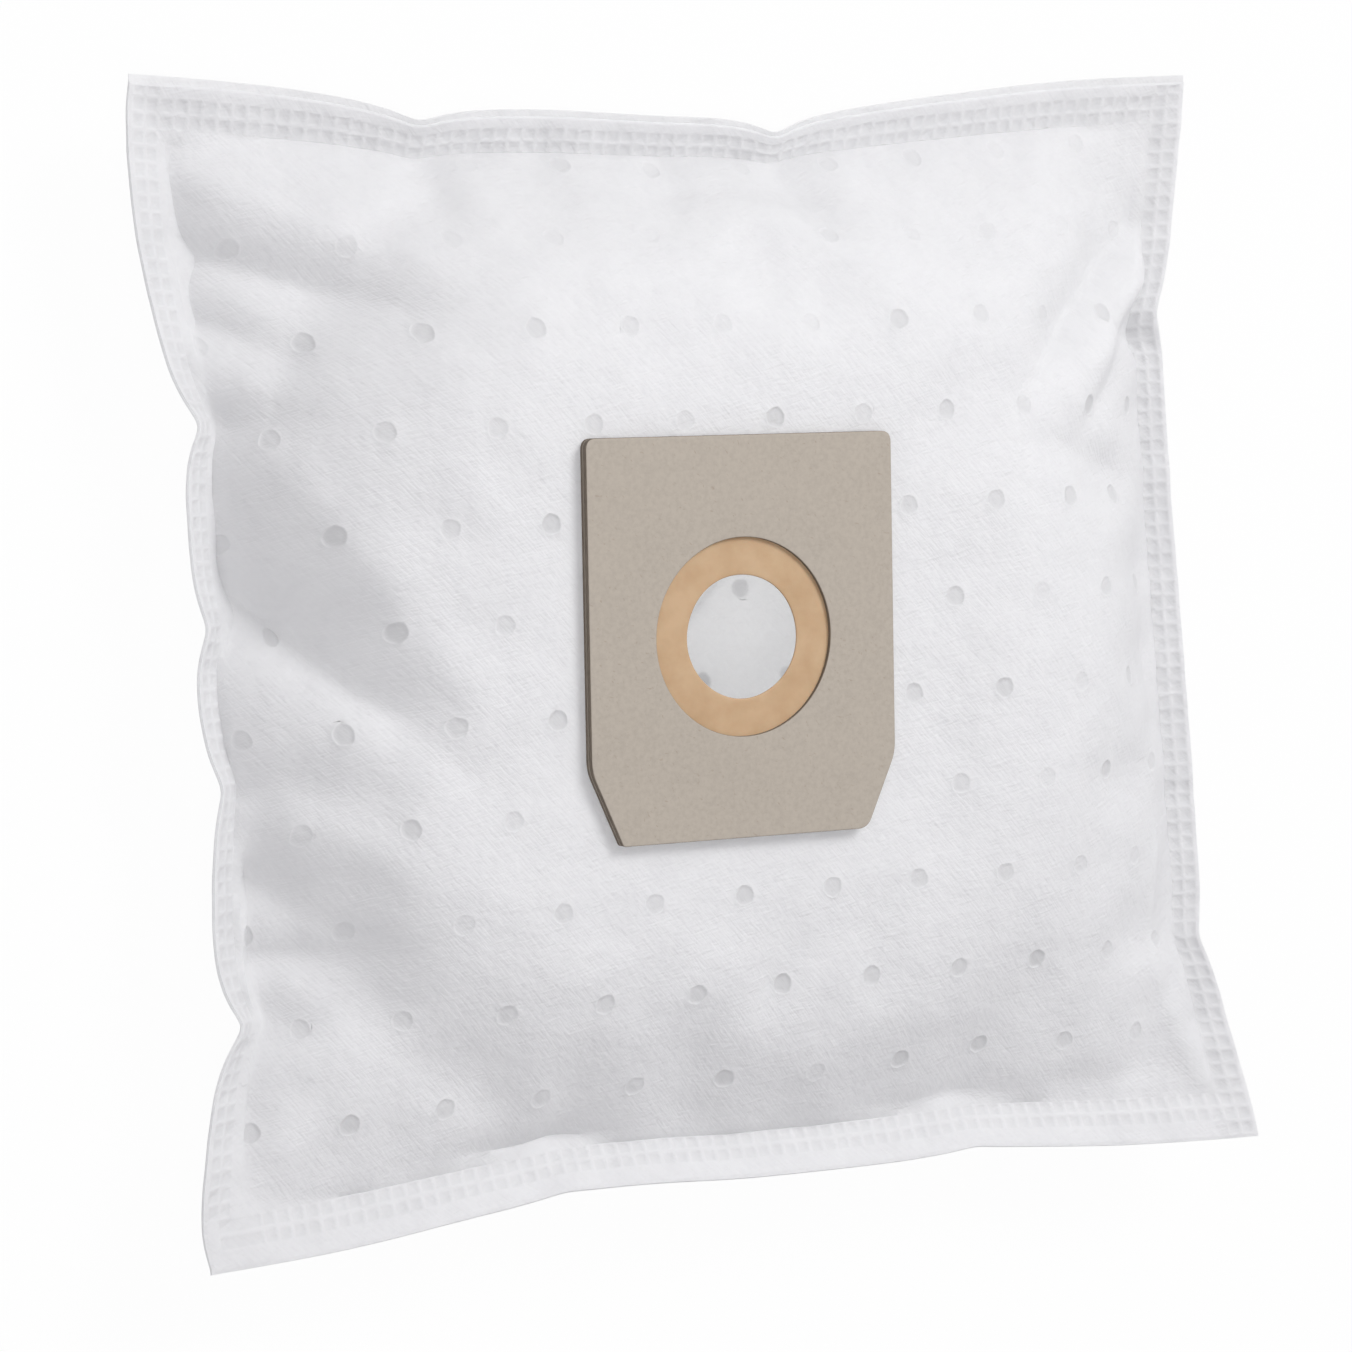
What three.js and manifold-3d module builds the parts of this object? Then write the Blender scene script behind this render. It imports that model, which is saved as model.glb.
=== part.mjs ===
// Vacuum dust bag: two white nonwoven panels welded together along a waffled band,
// with a card collar and a rubber sealing ring glued over the inlet.
//
// Millimetres, +Z up. The filled bag lies on its back panel with the collar on top.
// +Y is the bag's top edge and +X its right edge, seen from the collar side.
//
// Each panel is worked out from its flat cut: p runs across the sheet and q up it, both
// from the middle, and one function says where each flat place goes on the filled bag.

import * as THREE from 'three';
import * as BufferGeometryUtils from 'three/addons/utils/BufferGeometryUtils.js';
import Module from 'manifold-3d';

// Bag outline and sheet
const bagWidth = 330.7;
const bagHeight = 314.3;
const sheetThickness = 0.9;
const weldedThickness = 0.5;
const sheetGap = 0.3;
const frontEdgeSetBack = 2;

// Weld band: rows of embossed squares, with a plain margin outside them
const weldPitch = 4.25;
const weldRows = 2;
const squareDepth = 0.35;
const sideMargin = 1;
const endMargin = 5;

// How the bag is filled
const cornerRise = 34;
const edgeSag = 4;
const bandDropLeft = 7.6;
const bandDropRight = 4.8;
const frontDome = 36.5;
const domeTop = [17.5, 7];
const backDepth = 34;
const backRoundness = 3.6;
const bagLean = 0.016;

// Embossed spots that hold the plies of the front panel together, in staggered rows
const spotSpacing = 28.1;
const spotRowSpacing = 26.25;
const spotDiameter = 5.8;
const spotDepth = 0.4;
const spotColumnStart = -11.3;
const spotRowStart = -18.1;
const spotSides = 6;
const spotWall = 0.5;

// Collar: outer card, backing card and rubber ring
const collarWidth = 95;
const collarHeight = 110;
const chamferAcross = 9.2;
const chamferUp = 20.7;
const collarCornerRadius = 3;
const frontCardThickness = 1.9;
const backingThickness = 1.3;
const glueLine = 0.3;
const windowDiameter = 54.4;
const inletDiameter = 50;
const ringHoleDiameter = 34;
const ringOuterDiameter = 62;
const ringThickness = 0.7;
const ringClearance = 0.3;
const collarX = -11;
const collarY = 0.9;
const collarRise = 31.7;
const collarTilt = [3.6, 1.4, -0.8];
const padBorder = 7;
const padFade = 75;
const roundSegments = 44;
const cornerSegments = 3;

const fabricWhite = 0xeeeef2;
const cardGrey = 0xb4ac9e;
const rubberTan = 0xd2a878;

// Each side of the cut edge: how far it is drawn in at even stations from its low end to
// its high end, the power that this fades with, the power of the front dome's section
// towards it, and its tucks: place along the side, depth, reach
const leftEdge = {
  pull: [-4, 3, 7, 10, 8, 9, 6, 0, -2],
  fade: 3,
  roundness: 3.4,
  tucks: [[-94, 9, 9], [-31, 4, 8], [12, 4.5, 8], [66, 7, 8]],
};
const rightEdge = {
  pull: [-2, 5, 9.5, 10, 10.5, 11, 10, 4.5, -0.5],
  fade: 3.6,
  roundness: 4.3,
  tucks: [[-97, 4, 9], [88, 3, 8]],
};
const bottomEdge = {
  pull: [-0.5, 1, 5, 7.5, 5.5, 4.5, 4, 0.5, -1.5],
  fade: 2.9,
  roundness: 2,
  tucks: [[-59, 1.5, 12], [72, 1.5, 10]],
};
const topEdge = {
  pull: [-1.5, 1.5, 6.5, 8, 10, 9, 4.5, 0.5, -1],
  fade: 3.6,
  roundness: 3.7,
  tucks: [[-81, 4, 9], [29, 5, 8]],
};
const tuckFurrow = { depth: 3.5, width: 9, length: 40, start: 7 };
const tuckRounding = 3;

// Creases of the front panel, each with the widths on the left and right of its run. A
// ridge is a crease of negative depth.
const creaseRounding = 3;
const frontCreases = [
  { from: [-170, 142], to: [-62, 94], depth: -3.5, left: 14, right: 7 },
  { from: [-190, 126], to: [-74, 86], depth: 6, left: 9, right: 13 },
  { from: [-178, 108], to: [-120, 79], depth: 6, left: 7, right: 9 },
  { from: [-162, 100], to: [-76, -36], depth: -4, left: 18, right: 9 },
  { from: [-186, 28], to: [-84, -26], depth: 9, left: 12, right: 10 },
  { from: [-150, -14], to: [-122, -92], depth: -3, left: 14, right: 6 },
  { from: [-180, -38], to: [-100, -84], depth: 6, left: 9, right: 10 },
  { from: [-160, -24], to: [-82, -72], depth: -3.5, left: 9, right: 9 },
  { from: [-178, -75], to: [-104, -78], depth: 5, left: 7, right: 7 },
  { from: [-152, -84], to: [-138, -146], depth: -2.5, left: 12, right: 6 },
  { from: [-172, -152], to: [-50, -54], depth: -3, left: 14, right: 14 },
  { from: [-94, -138], to: [-34, -143], depth: 6, left: 5, right: 4 },
  { from: [26, -144], to: [99, -141], depth: 4, left: 5, right: 4 },
  { from: [176, 136], to: [62, 44], depth: 7, left: 5, right: 12 },
  { from: [176, 124], to: [104, 54], depth: -6, left: 6, right: 6 },
  { from: [156, 94], to: [102, 44], depth: 5, left: 5, right: 7 },
  { from: [70, 55], to: [150, 38], depth: 5, left: 6, right: 8 },
  { from: [-10, 122], to: [48, 76], depth: 4, left: 8, right: 9 },
  { from: [-12, 146], to: [60, 90], depth: -3, left: 12, right: 8 },
  { from: [-34, 128], to: [48, 128], depth: 4, left: 7, right: 5 },
];

const halfWidth = bagWidth / 2;
const halfHeight = bagHeight / 2;
const sideBand = sideMargin + weldRows * weldPitch;
const endBand = endMargin + weldRows * weldPitch;
const skinOffset = sheetGap / 2 + sheetThickness;
const collarStack = backingThickness + glueLine + frontCardThickness;

// Collar placement: its own origin is the middle of the backing card's underside
const collar = new THREE.Group();
collar.rotation.set(...collarTilt.map(THREE.MathUtils.degToRad), 'ZYX');
const collarNormal = new THREE.Vector3(0, 0, 1).applyEuler(collar.rotation);
collar.position.set(collarX, collarY, cornerRise + collarRise).addScaledVector(collarNormal, -collarStack);

const wasm = await Module();
wasm.setup();

function smoothStep(low, high, value) {
  return THREE.MathUtils.smoothstep(value, low, high);
}

// Smooth curve through evenly spaced stations, with t from 0 to 1
function through(stations, t) {
  const last = stations.length - 1;
  const x = THREE.MathUtils.clamp(t, 0, 1) * last;
  const i = Math.min(Math.floor(x), last - 1);
  const f = x - i;
  const [a, b, c, d] = [i - 1, i, i + 1, i + 2].map((k) => stations[THREE.MathUtils.clamp(k, 0, last)]);
  const slope0 = (c - a) / 2;
  const slope1 = (d - b) / 2;
  return b + f * slope0 + f * f * (3 * (c - b) - 2 * slope0 - slope1) + f ** 3 * (2 * (b - c) + slope0 + slope1);
}

// How far an edge is drawn in: the smooth pull fades inwards slowly, the tucks fast
function drawnIn(edge, place, halfLength, inwards) {
  const ramp = Math.max(inwards, 0);
  const pull = through(edge.pull, (place / halfLength + 1) / 2);
  const tuck = edge.tucks.reduce((sum, [at, depth, reach]) => {
    const away = Math.hypot(place - at, tuckRounding) - tuckRounding;
    return sum + depth * Math.exp(-away / reach);
  }, 0);
  return pull * ramp ** edge.fade + tuck * ramp ** 8;
}

// Depth of a crease at a flat place: deepest in its middle and nothing at its ends, and
// across it a rounded V whose sides fade with their own widths
function creaseDepth({ from, to, depth, left, right }, p, q) {
  const start = new THREE.Vector2(...from);
  const run = new THREE.Vector2(...to).sub(start);
  const place = new THREE.Vector2(p, q).sub(start);
  const t = THREE.MathUtils.clamp(place.dot(run) / run.lengthSq(), 0, 1);
  const width = run.cross(place) > 0 ? left : right;
  const away = Math.hypot(place.addScaledVector(run, -t).length(), creaseRounding) - creaseRounding;
  return depth * (4 * t * (1 - t)) ** 1.5 * Math.exp(-away / width);
}

// Depth of the furrows that run inwards from the tucks of one edge
function tuckFurrows(edge, place, inside) {
  const along = Math.exp(-inside / tuckFurrow.length) * (1 - Math.exp(-inside / tuckFurrow.start));
  return edge.tucks.reduce((sum, [at, depth]) => {
    const across = Math.exp(-(((place - at) / tuckFurrow.width) ** 2));
    return sum + Math.min(depth / 4, 1) * tuckFurrow.depth * across * along;
  }, 0);
}

// 0 at the top of a span from -half to half, and 1 at either end
function awayFromTop(place, top, half) {
  return place < top ? (top - place) / (top + half) : (place - top) / (half - top);
}

// Height of the plane that the collar is glued to
function padHeight(x, y) {
  const { x: nx, y: ny, z: nz } = collarNormal;
  const across = nx * (x - collar.position.x) + ny * (y - collar.position.y);
  return collar.position.z - (across + glueLine) / nz - skinOffset;
}

// The middle surface of a panel: where the flat place (p, q) goes on the filled bag.
// Both panels share the weld band, which tips up towards the front. Inside it the front
// domes up to the collar's pad, and the back bulges down and is flat where it lies.
function middle(side, p, q) {
  const s = p / halfWidth;
  const r = q / halfHeight;
  const x = p + drawnIn(leftEdge, q, halfHeight, -s) - drawnIn(rightEdge, q, halfHeight, s);
  const y = q + drawnIn(bottomEdge, p, halfWidth, -r) - drawnIn(topEdge, p, halfWidth, r);
  const insideSide = halfWidth - Math.abs(p) - sideBand;
  const insideEnd = halfHeight - Math.abs(q) - endBand;
  const fromSide = Math.min(insideSide, 0) + sideBand;
  const fromEnd = Math.min(insideEnd, 0) + endBand;
  const edgeFade = 1 - s ** 4 * r ** 4;
  const drop = THREE.MathUtils.lerp(bandDropLeft, bandDropRight, (s + 1) / 2);
  const tipped = drop * Math.min(fromSide / sideBand, fromEnd / endBand) * edgeFade;
  let z = cornerRise - bagLean * q - edgeSag * edgeFade - tipped;
  if (insideSide > 0 && insideEnd > 0) {
    const puckers = tuckFurrows(leftEdge, q, halfWidth - sideBand + p)
      + tuckFurrows(rightEdge, q, halfWidth - sideBand - p)
      + tuckFurrows(bottomEdge, p, halfHeight - endBand + q)
      + tuckFurrows(topEdge, p, halfHeight - endBand - q);
    if (side === 'front') {
      const edgeHold = smoothStep(0, 12, Math.min(insideSide, insideEnd));
      const creased = frontCreases.reduce((sum, crease) => sum + creaseDepth(crease, p, q), 0);
      const a = awayFromTop(p, domeTop[0], halfWidth - sideBand);
      const b = awayFromTop(q, domeTop[1], halfHeight - endBand);
      const { roundness: acrossPower } = p < domeTop[0] ? leftEdge : rightEdge;
      const { roundness: upPower } = q < domeTop[1] ? bottomEdge : topEdge;
      const dome = frontDome * (1 - a ** acrossPower) * (1 - b ** upPower);
      const outX = Math.max(Math.abs(x - collarX) - collarWidth / 2, 0);
      const outY = Math.max(Math.abs(y - collarY) - collarHeight / 2, 0);
      const free = smoothStep(padBorder, padFade, Math.hypot(outX, outY));
      z = (z + dome - creased * edgeHold - puckers) * free + padHeight(x, y) * (1 - free);
    } else {
      const a = Math.abs(p) / (halfWidth - sideBand);
      const b = Math.abs(q) / (halfHeight - endBand);
      const bulge = backDepth * (1 - a ** backRoundness) * (1 - b ** backRoundness);
      z = Math.max(z - bulge + puckers, skinOffset);
    }
  }
  return new THREE.Vector3(x, y, z);
}

// A place on one skin of a panel, offset from the middle surface along its normal
function skin(side, p, q, offset) {
  const step = 2;
  const across = middle(side, p + step, q).sub(middle(side, p - step, q));
  const up = middle(side, p, q + step).sub(middle(side, p, q - step));
  const normal = across.cross(up).normalize();
  return middle(side, p, q).addScaledVector(normal, side === 'front' ? offset : -offset);
}

// A growing closed surface
class Surface {
  points = [];
  faces = [];

  add(point) {
    this.points.push(point);
    return this.points.length - 1;
  }

  face(a, b, c) {
    this.faces.push(a, b, c);
  }

  geometry(flipped) {
    const geometry = new THREE.BufferGeometry();
    const order = flipped ? this.faces.slice().reverse() : this.faces;
    geometry.setAttribute('position', new THREE.Float32BufferAttribute(this.points.flatMap((v) => v.toArray()), 3));
    geometry.setIndex(order);
    geometry.computeVertexNormals();
    return geometry;
  }

  // Joins two closed loops with a band of triangles. Each loop is a list of point
  // numbers with their turn, from 0 to 4, one for each side of the sheet.
  zip(outer, inner, turned) {
    const turnOf = (loop, k) => (k < loop.length ? loop[k].turn : 4);
    const at = (loop, k) => loop[k % loop.length].index;
    const add = (a, b, c) => (turned ? this.face(a, c, b) : this.face(a, b, c));
    let i = 0;
    let j = 0;
    while (i < outer.length || j < inner.length) {
      const outerFirst = j >= inner.length || (i < outer.length && turnOf(outer, i + 1) <= turnOf(inner, j + 1));
      if (outerFirst) {
        add(at(outer, i), at(outer, i + 1), at(inner, j));
        i += 1;
      } else {
        add(at(outer, i), at(inner, j + 1), at(inner, j));
        j += 1;
      }
    }
  }
}

// The stations of a closed loop round a rectangle of columns and rows, anticlockwise
// from its low corner, each with its turn from 0 to 4
function loopStations(columns, rows) {
  const stations = [];
  const lastColumn = columns.length - 1;
  const lastRow = rows.length - 1;
  const share = (list, k) => (list[k] - list[0]) / (list.at(-1) - list[0]);
  for (let i = 0; i < lastColumn; i += 1) stations.push({ i, j: 0, turn: share(columns, i) });
  for (let j = 0; j < lastRow; j += 1) stations.push({ i: lastColumn, j, turn: 1 + share(rows, j) });
  for (let i = lastColumn; i > 0; i -= 1) stations.push({ i, j: lastRow, turn: 3 - share(columns, i) });
  for (let j = lastRow; j > 0; j -= 1) stations.push({ i: 0, j, turn: 4 - share(rows, j) });
  return stations;
}

function evenly(low, high, count) {
  return Array.from({ length: count + 1 }, (_, k) => low + ((high - low) * k) / count);
}

// Grid lines at half the spacing of the spots, as many as fit between the weld lines
function gridLines(start, spacing, limit) {
  const first = Math.ceil((-limit - start) / spacing);
  const last = Math.floor((limit - start) / spacing);
  return evenly(start + first * spacing, start + last * spacing, last - first);
}

const columns = gridLines(spotColumnStart, spotSpacing / 2, halfWidth - sideBand - 4);
const rows = gridLines(spotRowStart, spotRowSpacing / 2, halfHeight - endBand - 4);
const firstInletColumn = columns.findLastIndex((p) => p <= collarX - inletDiameter / 2 - 2);
const lastInletColumn = columns.findIndex((p) => p >= collarX + inletDiameter / 2 + 2);
const firstInletRow = rows.findLastIndex((q) => q <= collarY - inletDiameter / 2 - 2);
const lastInletRow = rows.findIndex((q) => q >= collarY + inletDiameter / 2 + 2);

function isUnderCollar(p, q) {
  return Math.abs(p - collarX) < collarWidth / 2 && Math.abs(q - collarY) < collarHeight / 2;
}

function isOverInlet(i, j) {
  return i >= firstInletColumn && i < lastInletColumn && j >= firstInletRow && j < lastInletRow;
}

// A spot stands where staggered rows say, unless the grid ends beside it
function isSpot(i, j) {
  const row = Math.round((rows[j] - spotRowStart) / (spotRowSpacing / 2));
  const column = Math.round((columns[i] - spotColumnStart) / (spotSpacing / 2));
  const inGrid = i > 0 && j > 0 && i < columns.length - 1 && j < rows.length - 1;
  const staggered = row % 2 === 0 && Math.abs(column % 2) === Math.abs((row / 2) % 2);
  return inGrid && staggered;
}

// One embossed spot of the front: a sunk disc inside the eight grid points round it
function addSpot(surface, grid, i, j, offset) {
  const around = [[-1, -1], [0, -1], [1, -1], [1, 0], [1, 1], [0, 1], [-1, 1], [-1, 0]];
  const outer = around.map(([di, dj], k) => ({ index: grid[i + di][j + dj], turn: k / 2 }));
  const point = (di, dj) => surface.points[grid[i + di][j + dj]];
  const sunk = skin('front', columns[i], rows[j], offset - spotDepth).sub(point(0, 0));
  const ring = (diameter, shift) => Array.from({ length: spotSides }, (_, k) => {
    const angle = (-3 * Math.PI) / 4 + (2 * Math.PI * k) / spotSides;
    const across = (diameter / spotSpacing) * Math.cos(angle);
    const up = (diameter / spotRowSpacing) * Math.sin(angle);
    const [di, dj] = [Math.sign(across), Math.sign(up)];
    const low = point(0, 0).clone().lerp(point(di, 0), Math.abs(across));
    const high = point(0, dj).clone().lerp(point(di, dj), Math.abs(across));
    return { index: surface.add(low.lerp(high, Math.abs(up)).add(shift)), turn: (4 * k) / spotSides };
  });
  const rim = ring(spotDiameter, new THREE.Vector3());
  const floor = ring(spotDiameter - 2 * spotWall, sunk);
  surface.zip(outer, rim, false);
  surface.zip(rim, floor, false);
  for (let k = 1; k < spotSides - 1; k += 1) {
    surface.face(floor[0].index, floor[k].index, floor[k + 1].index);
  }
}

// The field of a skin inside the weld: a grid with its spots and, on the front, the
// round inlet. Returns its outer loop, and the inlet's loop.
function addField(surface, side, offset, spotted, turned) {
  const grid = columns.map((p) => rows.map((q) => surface.add(skin(side, p, q, offset))));
  const hasInlet = side === 'front';
  const spots = new Set();
  const canHoldSpot = (i, j) => {
    const cells = [[i - 1, j - 1], [i, j - 1], [i - 1, j], [i, j]];
    const clearOfInlet = !hasInlet || (!cells.some(([u, v]) => isOverInlet(u, v)) && !isUnderCollar(columns[i], rows[j]));
    return spotted && isSpot(i, j) && clearOfInlet;
  };
  for (let i = 0; i < columns.length; i += 1) {
    for (let j = 0; j < rows.length; j += 1) {
      if (canHoldSpot(i, j)) {
        addSpot(surface, grid, i, j, offset);
        [[i - 1, j - 1], [i, j - 1], [i - 1, j], [i, j]].forEach(([u, v]) => spots.add(`${u},${v}`));
      }
    }
  }
  for (let i = 0; i < columns.length - 1; i += 1) {
    for (let j = 0; j < rows.length - 1; j += 1) {
      const isOpen = hasInlet && isOverInlet(i, j);
      if (!isOpen && !spots.has(`${i},${j}`)) {
        const corners = [grid[i][j], grid[i + 1][j], grid[i + 1][j + 1], grid[i][j + 1]];
        const [a, b, c, d] = turned ? corners.reverse() : corners;
        surface.face(a, b, c);
        surface.face(a, c, d);
      }
    }
  }
  const border = loopStations(columns, rows).map(({ i, j, turn }) => ({ index: grid[i][j], turn }));
  const inlet = hasInlet ? addInlet(surface, grid, side, offset, turned) : null;
  return { border, inlet };
}

// The round inlet, zipped to the block of grid points about it
function addInlet(surface, grid, side, offset, turned) {
  const blockColumns = columns.slice(firstInletColumn, lastInletColumn + 1);
  const blockRows = rows.slice(firstInletRow, lastInletRow + 1);
  const outer = loopStations(blockColumns, blockRows).map(({ i, j, turn }) => (
    { index: grid[firstInletColumn + i][firstInletRow + j], turn }
  ));
  const inner = Array.from({ length: roundSegments }, (_, k) => {
    const angle = (-3 * Math.PI) / 4 + (2 * Math.PI * k) / roundSegments;
    const p = collarX + (inletDiameter / 2) * Math.cos(angle);
    const q = collarY + (inletDiameter / 2) * Math.sin(angle);
    return { index: surface.add(skin(side, p, q, offset)), turn: (4 * k) / roundSegments };
  });
  surface.zip(outer, inner, turned);
  return inner;
}

// A loop of skin points round the sheet at the given flat lines
function addLoop(surface, side, offset, columnLines, rowLines) {
  return loopStations(columnLines, rowLines).map(({ i, j, turn }) => (
    { index: surface.add(skin(side, columnLines[i], rowLines[j], offset)), turn }
  ));
}

const weldColumns = Math.round((bagWidth - 2 * sideMargin) / weldPitch);
const weldLines = Math.round((bagHeight - 2 * endMargin) / weldPitch);
const weldP = evenly(sideMargin - halfWidth, halfWidth - sideMargin, weldColumns);
const weldQ = evenly(endMargin - halfHeight, halfHeight - endMargin, weldLines);
const everyOther = (list) => evenly(list[0], list.at(-1), Math.round((list.length - 1) / 2));
const weldInnerP = weldP.slice(weldRows, -weldRows);
const weldInnerQ = weldQ.slice(weldRows, -weldRows);

// The waffle: two rows of squares round the whole sheet, each with a sunk middle.
// Returns its outer and inner loops.
function addWaffle(surface, side, offset) {
  const lastColumn = weldP.length - 1;
  const lastRow = weldQ.length - 1;
  const isBand = (i, j) => (
    i < weldRows || j < weldRows || i >= lastColumn - weldRows || j >= lastRow - weldRows
  );
  const isBandPoint = (i, j) => (
    i <= weldRows || j <= weldRows || i >= lastColumn - weldRows || j >= lastRow - weldRows
  );
  const grid = weldP.map((p, i) => weldQ.map((q, j) => (
    isBandPoint(i, j) ? surface.add(skin(side, p, q, offset)) : null
  )));
  for (let i = 0; i < lastColumn; i += 1) {
    for (let j = 0; j < lastRow; j += 1) {
      if (isBand(i, j)) {
        const p = (weldP[i] + weldP[i + 1]) / 2;
        const q = (weldQ[j] + weldQ[j + 1]) / 2;
        const centre = surface.add(skin(side, p, q, offset - squareDepth));
        const corners = [grid[i][j], grid[i + 1][j], grid[i + 1][j + 1], grid[i][j + 1]];
        corners.forEach((corner, k) => surface.face(corner, corners[(k + 1) % 4], centre));
      }
    }
  }
  const outer = loopStations(weldP, weldQ).map(({ i, j, turn }) => ({ index: grid[i][j], turn }));
  const inner = loopStations(weldInnerP, weldInnerQ).map(({ i, j, turn }) => (
    { index: grid[i + weldRows][j + weldRows], turn }
  ));
  return { outer, inner };
}

// One panel: an outer skin, an inner skin, the cut edge and, on the front, the inlet's edge
function panelGeometry(side) {
  const surface = new Surface();
  const isFront = side === 'front';
  const topCut = halfHeight - (isFront ? frontEdgeSetBack : 0);
  const cutP = everyOther(weldP).map((p) => p * (halfWidth / (halfWidth - sideMargin)));
  const cutQ = evenly(-halfHeight, topCut, Math.round(weldLines / 2));
  const inside = sheetGap / 2;
  const weldOutside = inside + weldedThickness;

  const outerField = addField(surface, side, skinOffset, isFront, !isFront);
  const outerCut = addLoop(surface, side, weldOutside, cutP, cutQ);
  if (isFront) {
    const waffle = addWaffle(surface, side, skinOffset);
    surface.zip(outerCut, waffle.outer, false);
    surface.zip(waffle.inner, outerField.border, false);
  } else {
    const weldLine = addLoop(surface, side, skinOffset, everyOther(weldInnerP), everyOther(weldInnerQ));
    surface.zip(outerCut, weldLine, true);
    surface.zip(weldLine, outerField.border, true);
  }

  const innerField = addField(surface, side, inside, false, isFront);
  const innerLine = addLoop(surface, side, inside, everyOther(weldInnerP), everyOther(weldInnerQ));
  const innerCut = addLoop(surface, side, inside, cutP, cutQ);
  surface.zip(innerCut, innerLine, isFront);
  surface.zip(innerLine, innerField.border, isFront);
  surface.zip(outerCut, innerCut, isFront);
  if (isFront) surface.zip(outerField.inlet, innerField.inlet, false);
  return surface.geometry(false);
}

// Outline of a card: a rectangle with its two lower corners cut off, each corner
// rounded by its own radius
function cardOutline() {
  const across = collarWidth / 2;
  const up = collarHeight / 2;
  const corners = [
    { at: [across, up], radius: collarCornerRadius },
    { at: [-across, up], radius: collarCornerRadius },
    { at: [-across, chamferUp - up], radius: collarCornerRadius },
    { at: [chamferAcross - across, -up], radius: collarCornerRadius / 4 },
    { at: [across - chamferAcross, -up], radius: collarCornerRadius },
    { at: [across, chamferUp - up], radius: collarCornerRadius },
  ];
  return corners.flatMap(({ at, radius }, k) => {
    const corner = new THREE.Vector2(...at);
    const before = new THREE.Vector2(...corners.at(k - 1).at).sub(corner).setLength(radius);
    const after = new THREE.Vector2(...corners[(k + 1) % corners.length].at).sub(corner).setLength(radius);
    const bend = new THREE.QuadraticBezierCurve(before.add(corner), corner, after.add(corner));
    return bend.getPoints(cornerSegments);
  });
}

// A card with one round hole, from height 0 to its thickness
function holedCard(thickness, holeDiameter) {
  const shape = new THREE.Shape(cardOutline());
  const hole = new THREE.EllipseCurve(0, 0, holeDiameter / 2, holeDiameter / 2, 0, 2 * Math.PI, true);
  shape.holes.push(new THREE.Path(hole.getPoints(roundSegments).slice(0, -1)));
  return new THREE.ExtrudeGeometry(shape, { depth: thickness, bevelEnabled: false });
}

function solidOf(geometry) {
  const bare = geometry.clone();
  bare.deleteAttribute('normal');
  bare.deleteAttribute('uv');
  const merged = BufferGeometryUtils.mergeVertices(bare);
  const vertProperties = new Float32Array(merged.getAttribute('position').array);
  const triVerts = new Uint32Array(merged.getIndex().array);
  return new wasm.Manifold(new wasm.Mesh({ numProp: 3, vertProperties, triVerts }));
}

function geometryOf(solid) {
  const mesh = solid.getMesh();
  const geometry = new THREE.BufferGeometry();
  geometry.setAttribute('position', new THREE.Float32BufferAttribute(mesh.vertProperties, 3));
  geometry.setIndex(Array.from(mesh.triVerts));
  return geometry;
}

// The outer card has a round window, and a pressed recess round it behind, for the ring
function frontCardGeometry() {
  const recessRadius = ringOuterDiameter / 2 + ringClearance;
  const recessDepth = ringThickness + ringClearance;
  const recess = new THREE.CylinderGeometry(recessRadius, recessRadius, 2 * recessDepth, roundSegments);
  recess.rotateX(Math.PI / 2);
  return geometryOf(solidOf(holedCard(frontCardThickness, windowDiameter)).subtract(solidOf(recess)));
}

// The rubber ring, with a thin lip at its hole
function ringGeometry() {
  const lip = ringThickness / 2;
  const hole = ringHoleDiameter / 2;
  const profile = [
    [hole, lip],
    [hole + lip, 0],
    [ringOuterDiameter / 2, 0],
    [ringOuterDiameter / 2, ringThickness],
    [hole + lip, ringThickness],
    [hole, lip],
  ].map(([radius, height]) => new THREE.Vector2(radius, height));
  return new THREE.LatheGeometry(profile, roundSegments).rotateX(Math.PI / 2);
}

function material(color, roughness) {
  return new THREE.MeshStandardMaterial({ color, roughness, metalness: 0 });
}

function namedMesh(name, geometry, finish) {
  const mesh = new THREE.Mesh(geometry, finish);
  mesh.name = name;
  return mesh;
}

const fabric = material(fabricWhite, 0.9);
const greyboard = material(cardGrey, 0.85);
const rubber = material(rubberTan, 0.6);

const dustBag = new THREE.Group();
dustBag.add(namedMesh('front_panel', panelGeometry('front'), fabric));
dustBag.add(namedMesh('back_panel', panelGeometry('back'), fabric));

const backingCard = namedMesh('backing_card', holedCard(backingThickness, inletDiameter), greyboard);
const sealingRing = namedMesh('rubber_gasket', ringGeometry(), rubber);
const frontCard = namedMesh('collar_card', frontCardGeometry(), greyboard);
sealingRing.position.z = backingThickness + glueLine;
frontCard.position.z = backingThickness + glueLine;
collar.add(backingCard, sealingRing, frontCard);
dustBag.add(collar);

// The bag stands on its lowest face, with its box centred on the origin
const box = new THREE.Box3().setFromObject(dustBag);
const centre = box.getCenter(new THREE.Vector3());
dustBag.position.set(-centre.x, -centre.y, -box.min.z);

export default dustBag;
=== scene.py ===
"""Finish of the vacuum dust bag: two nonwoven panels, a card collar and a rubber ring.

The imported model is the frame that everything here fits. Each panel is worked out from its
flat cut: p runs across the sheet and q up it, both from the middle. One function says
where each flat place goes on the filled bag, a cloth simulation adds the puckers that the
fill leaves along the weld, and the embossing is a depth over the same flat places.
"""

import math

import bpy
import numpy as np
from bpy.props import FloatProperty, FloatVectorProperty, IntProperty, PointerProperty
from mathutils import Euler, Matrix, Vector


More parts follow.
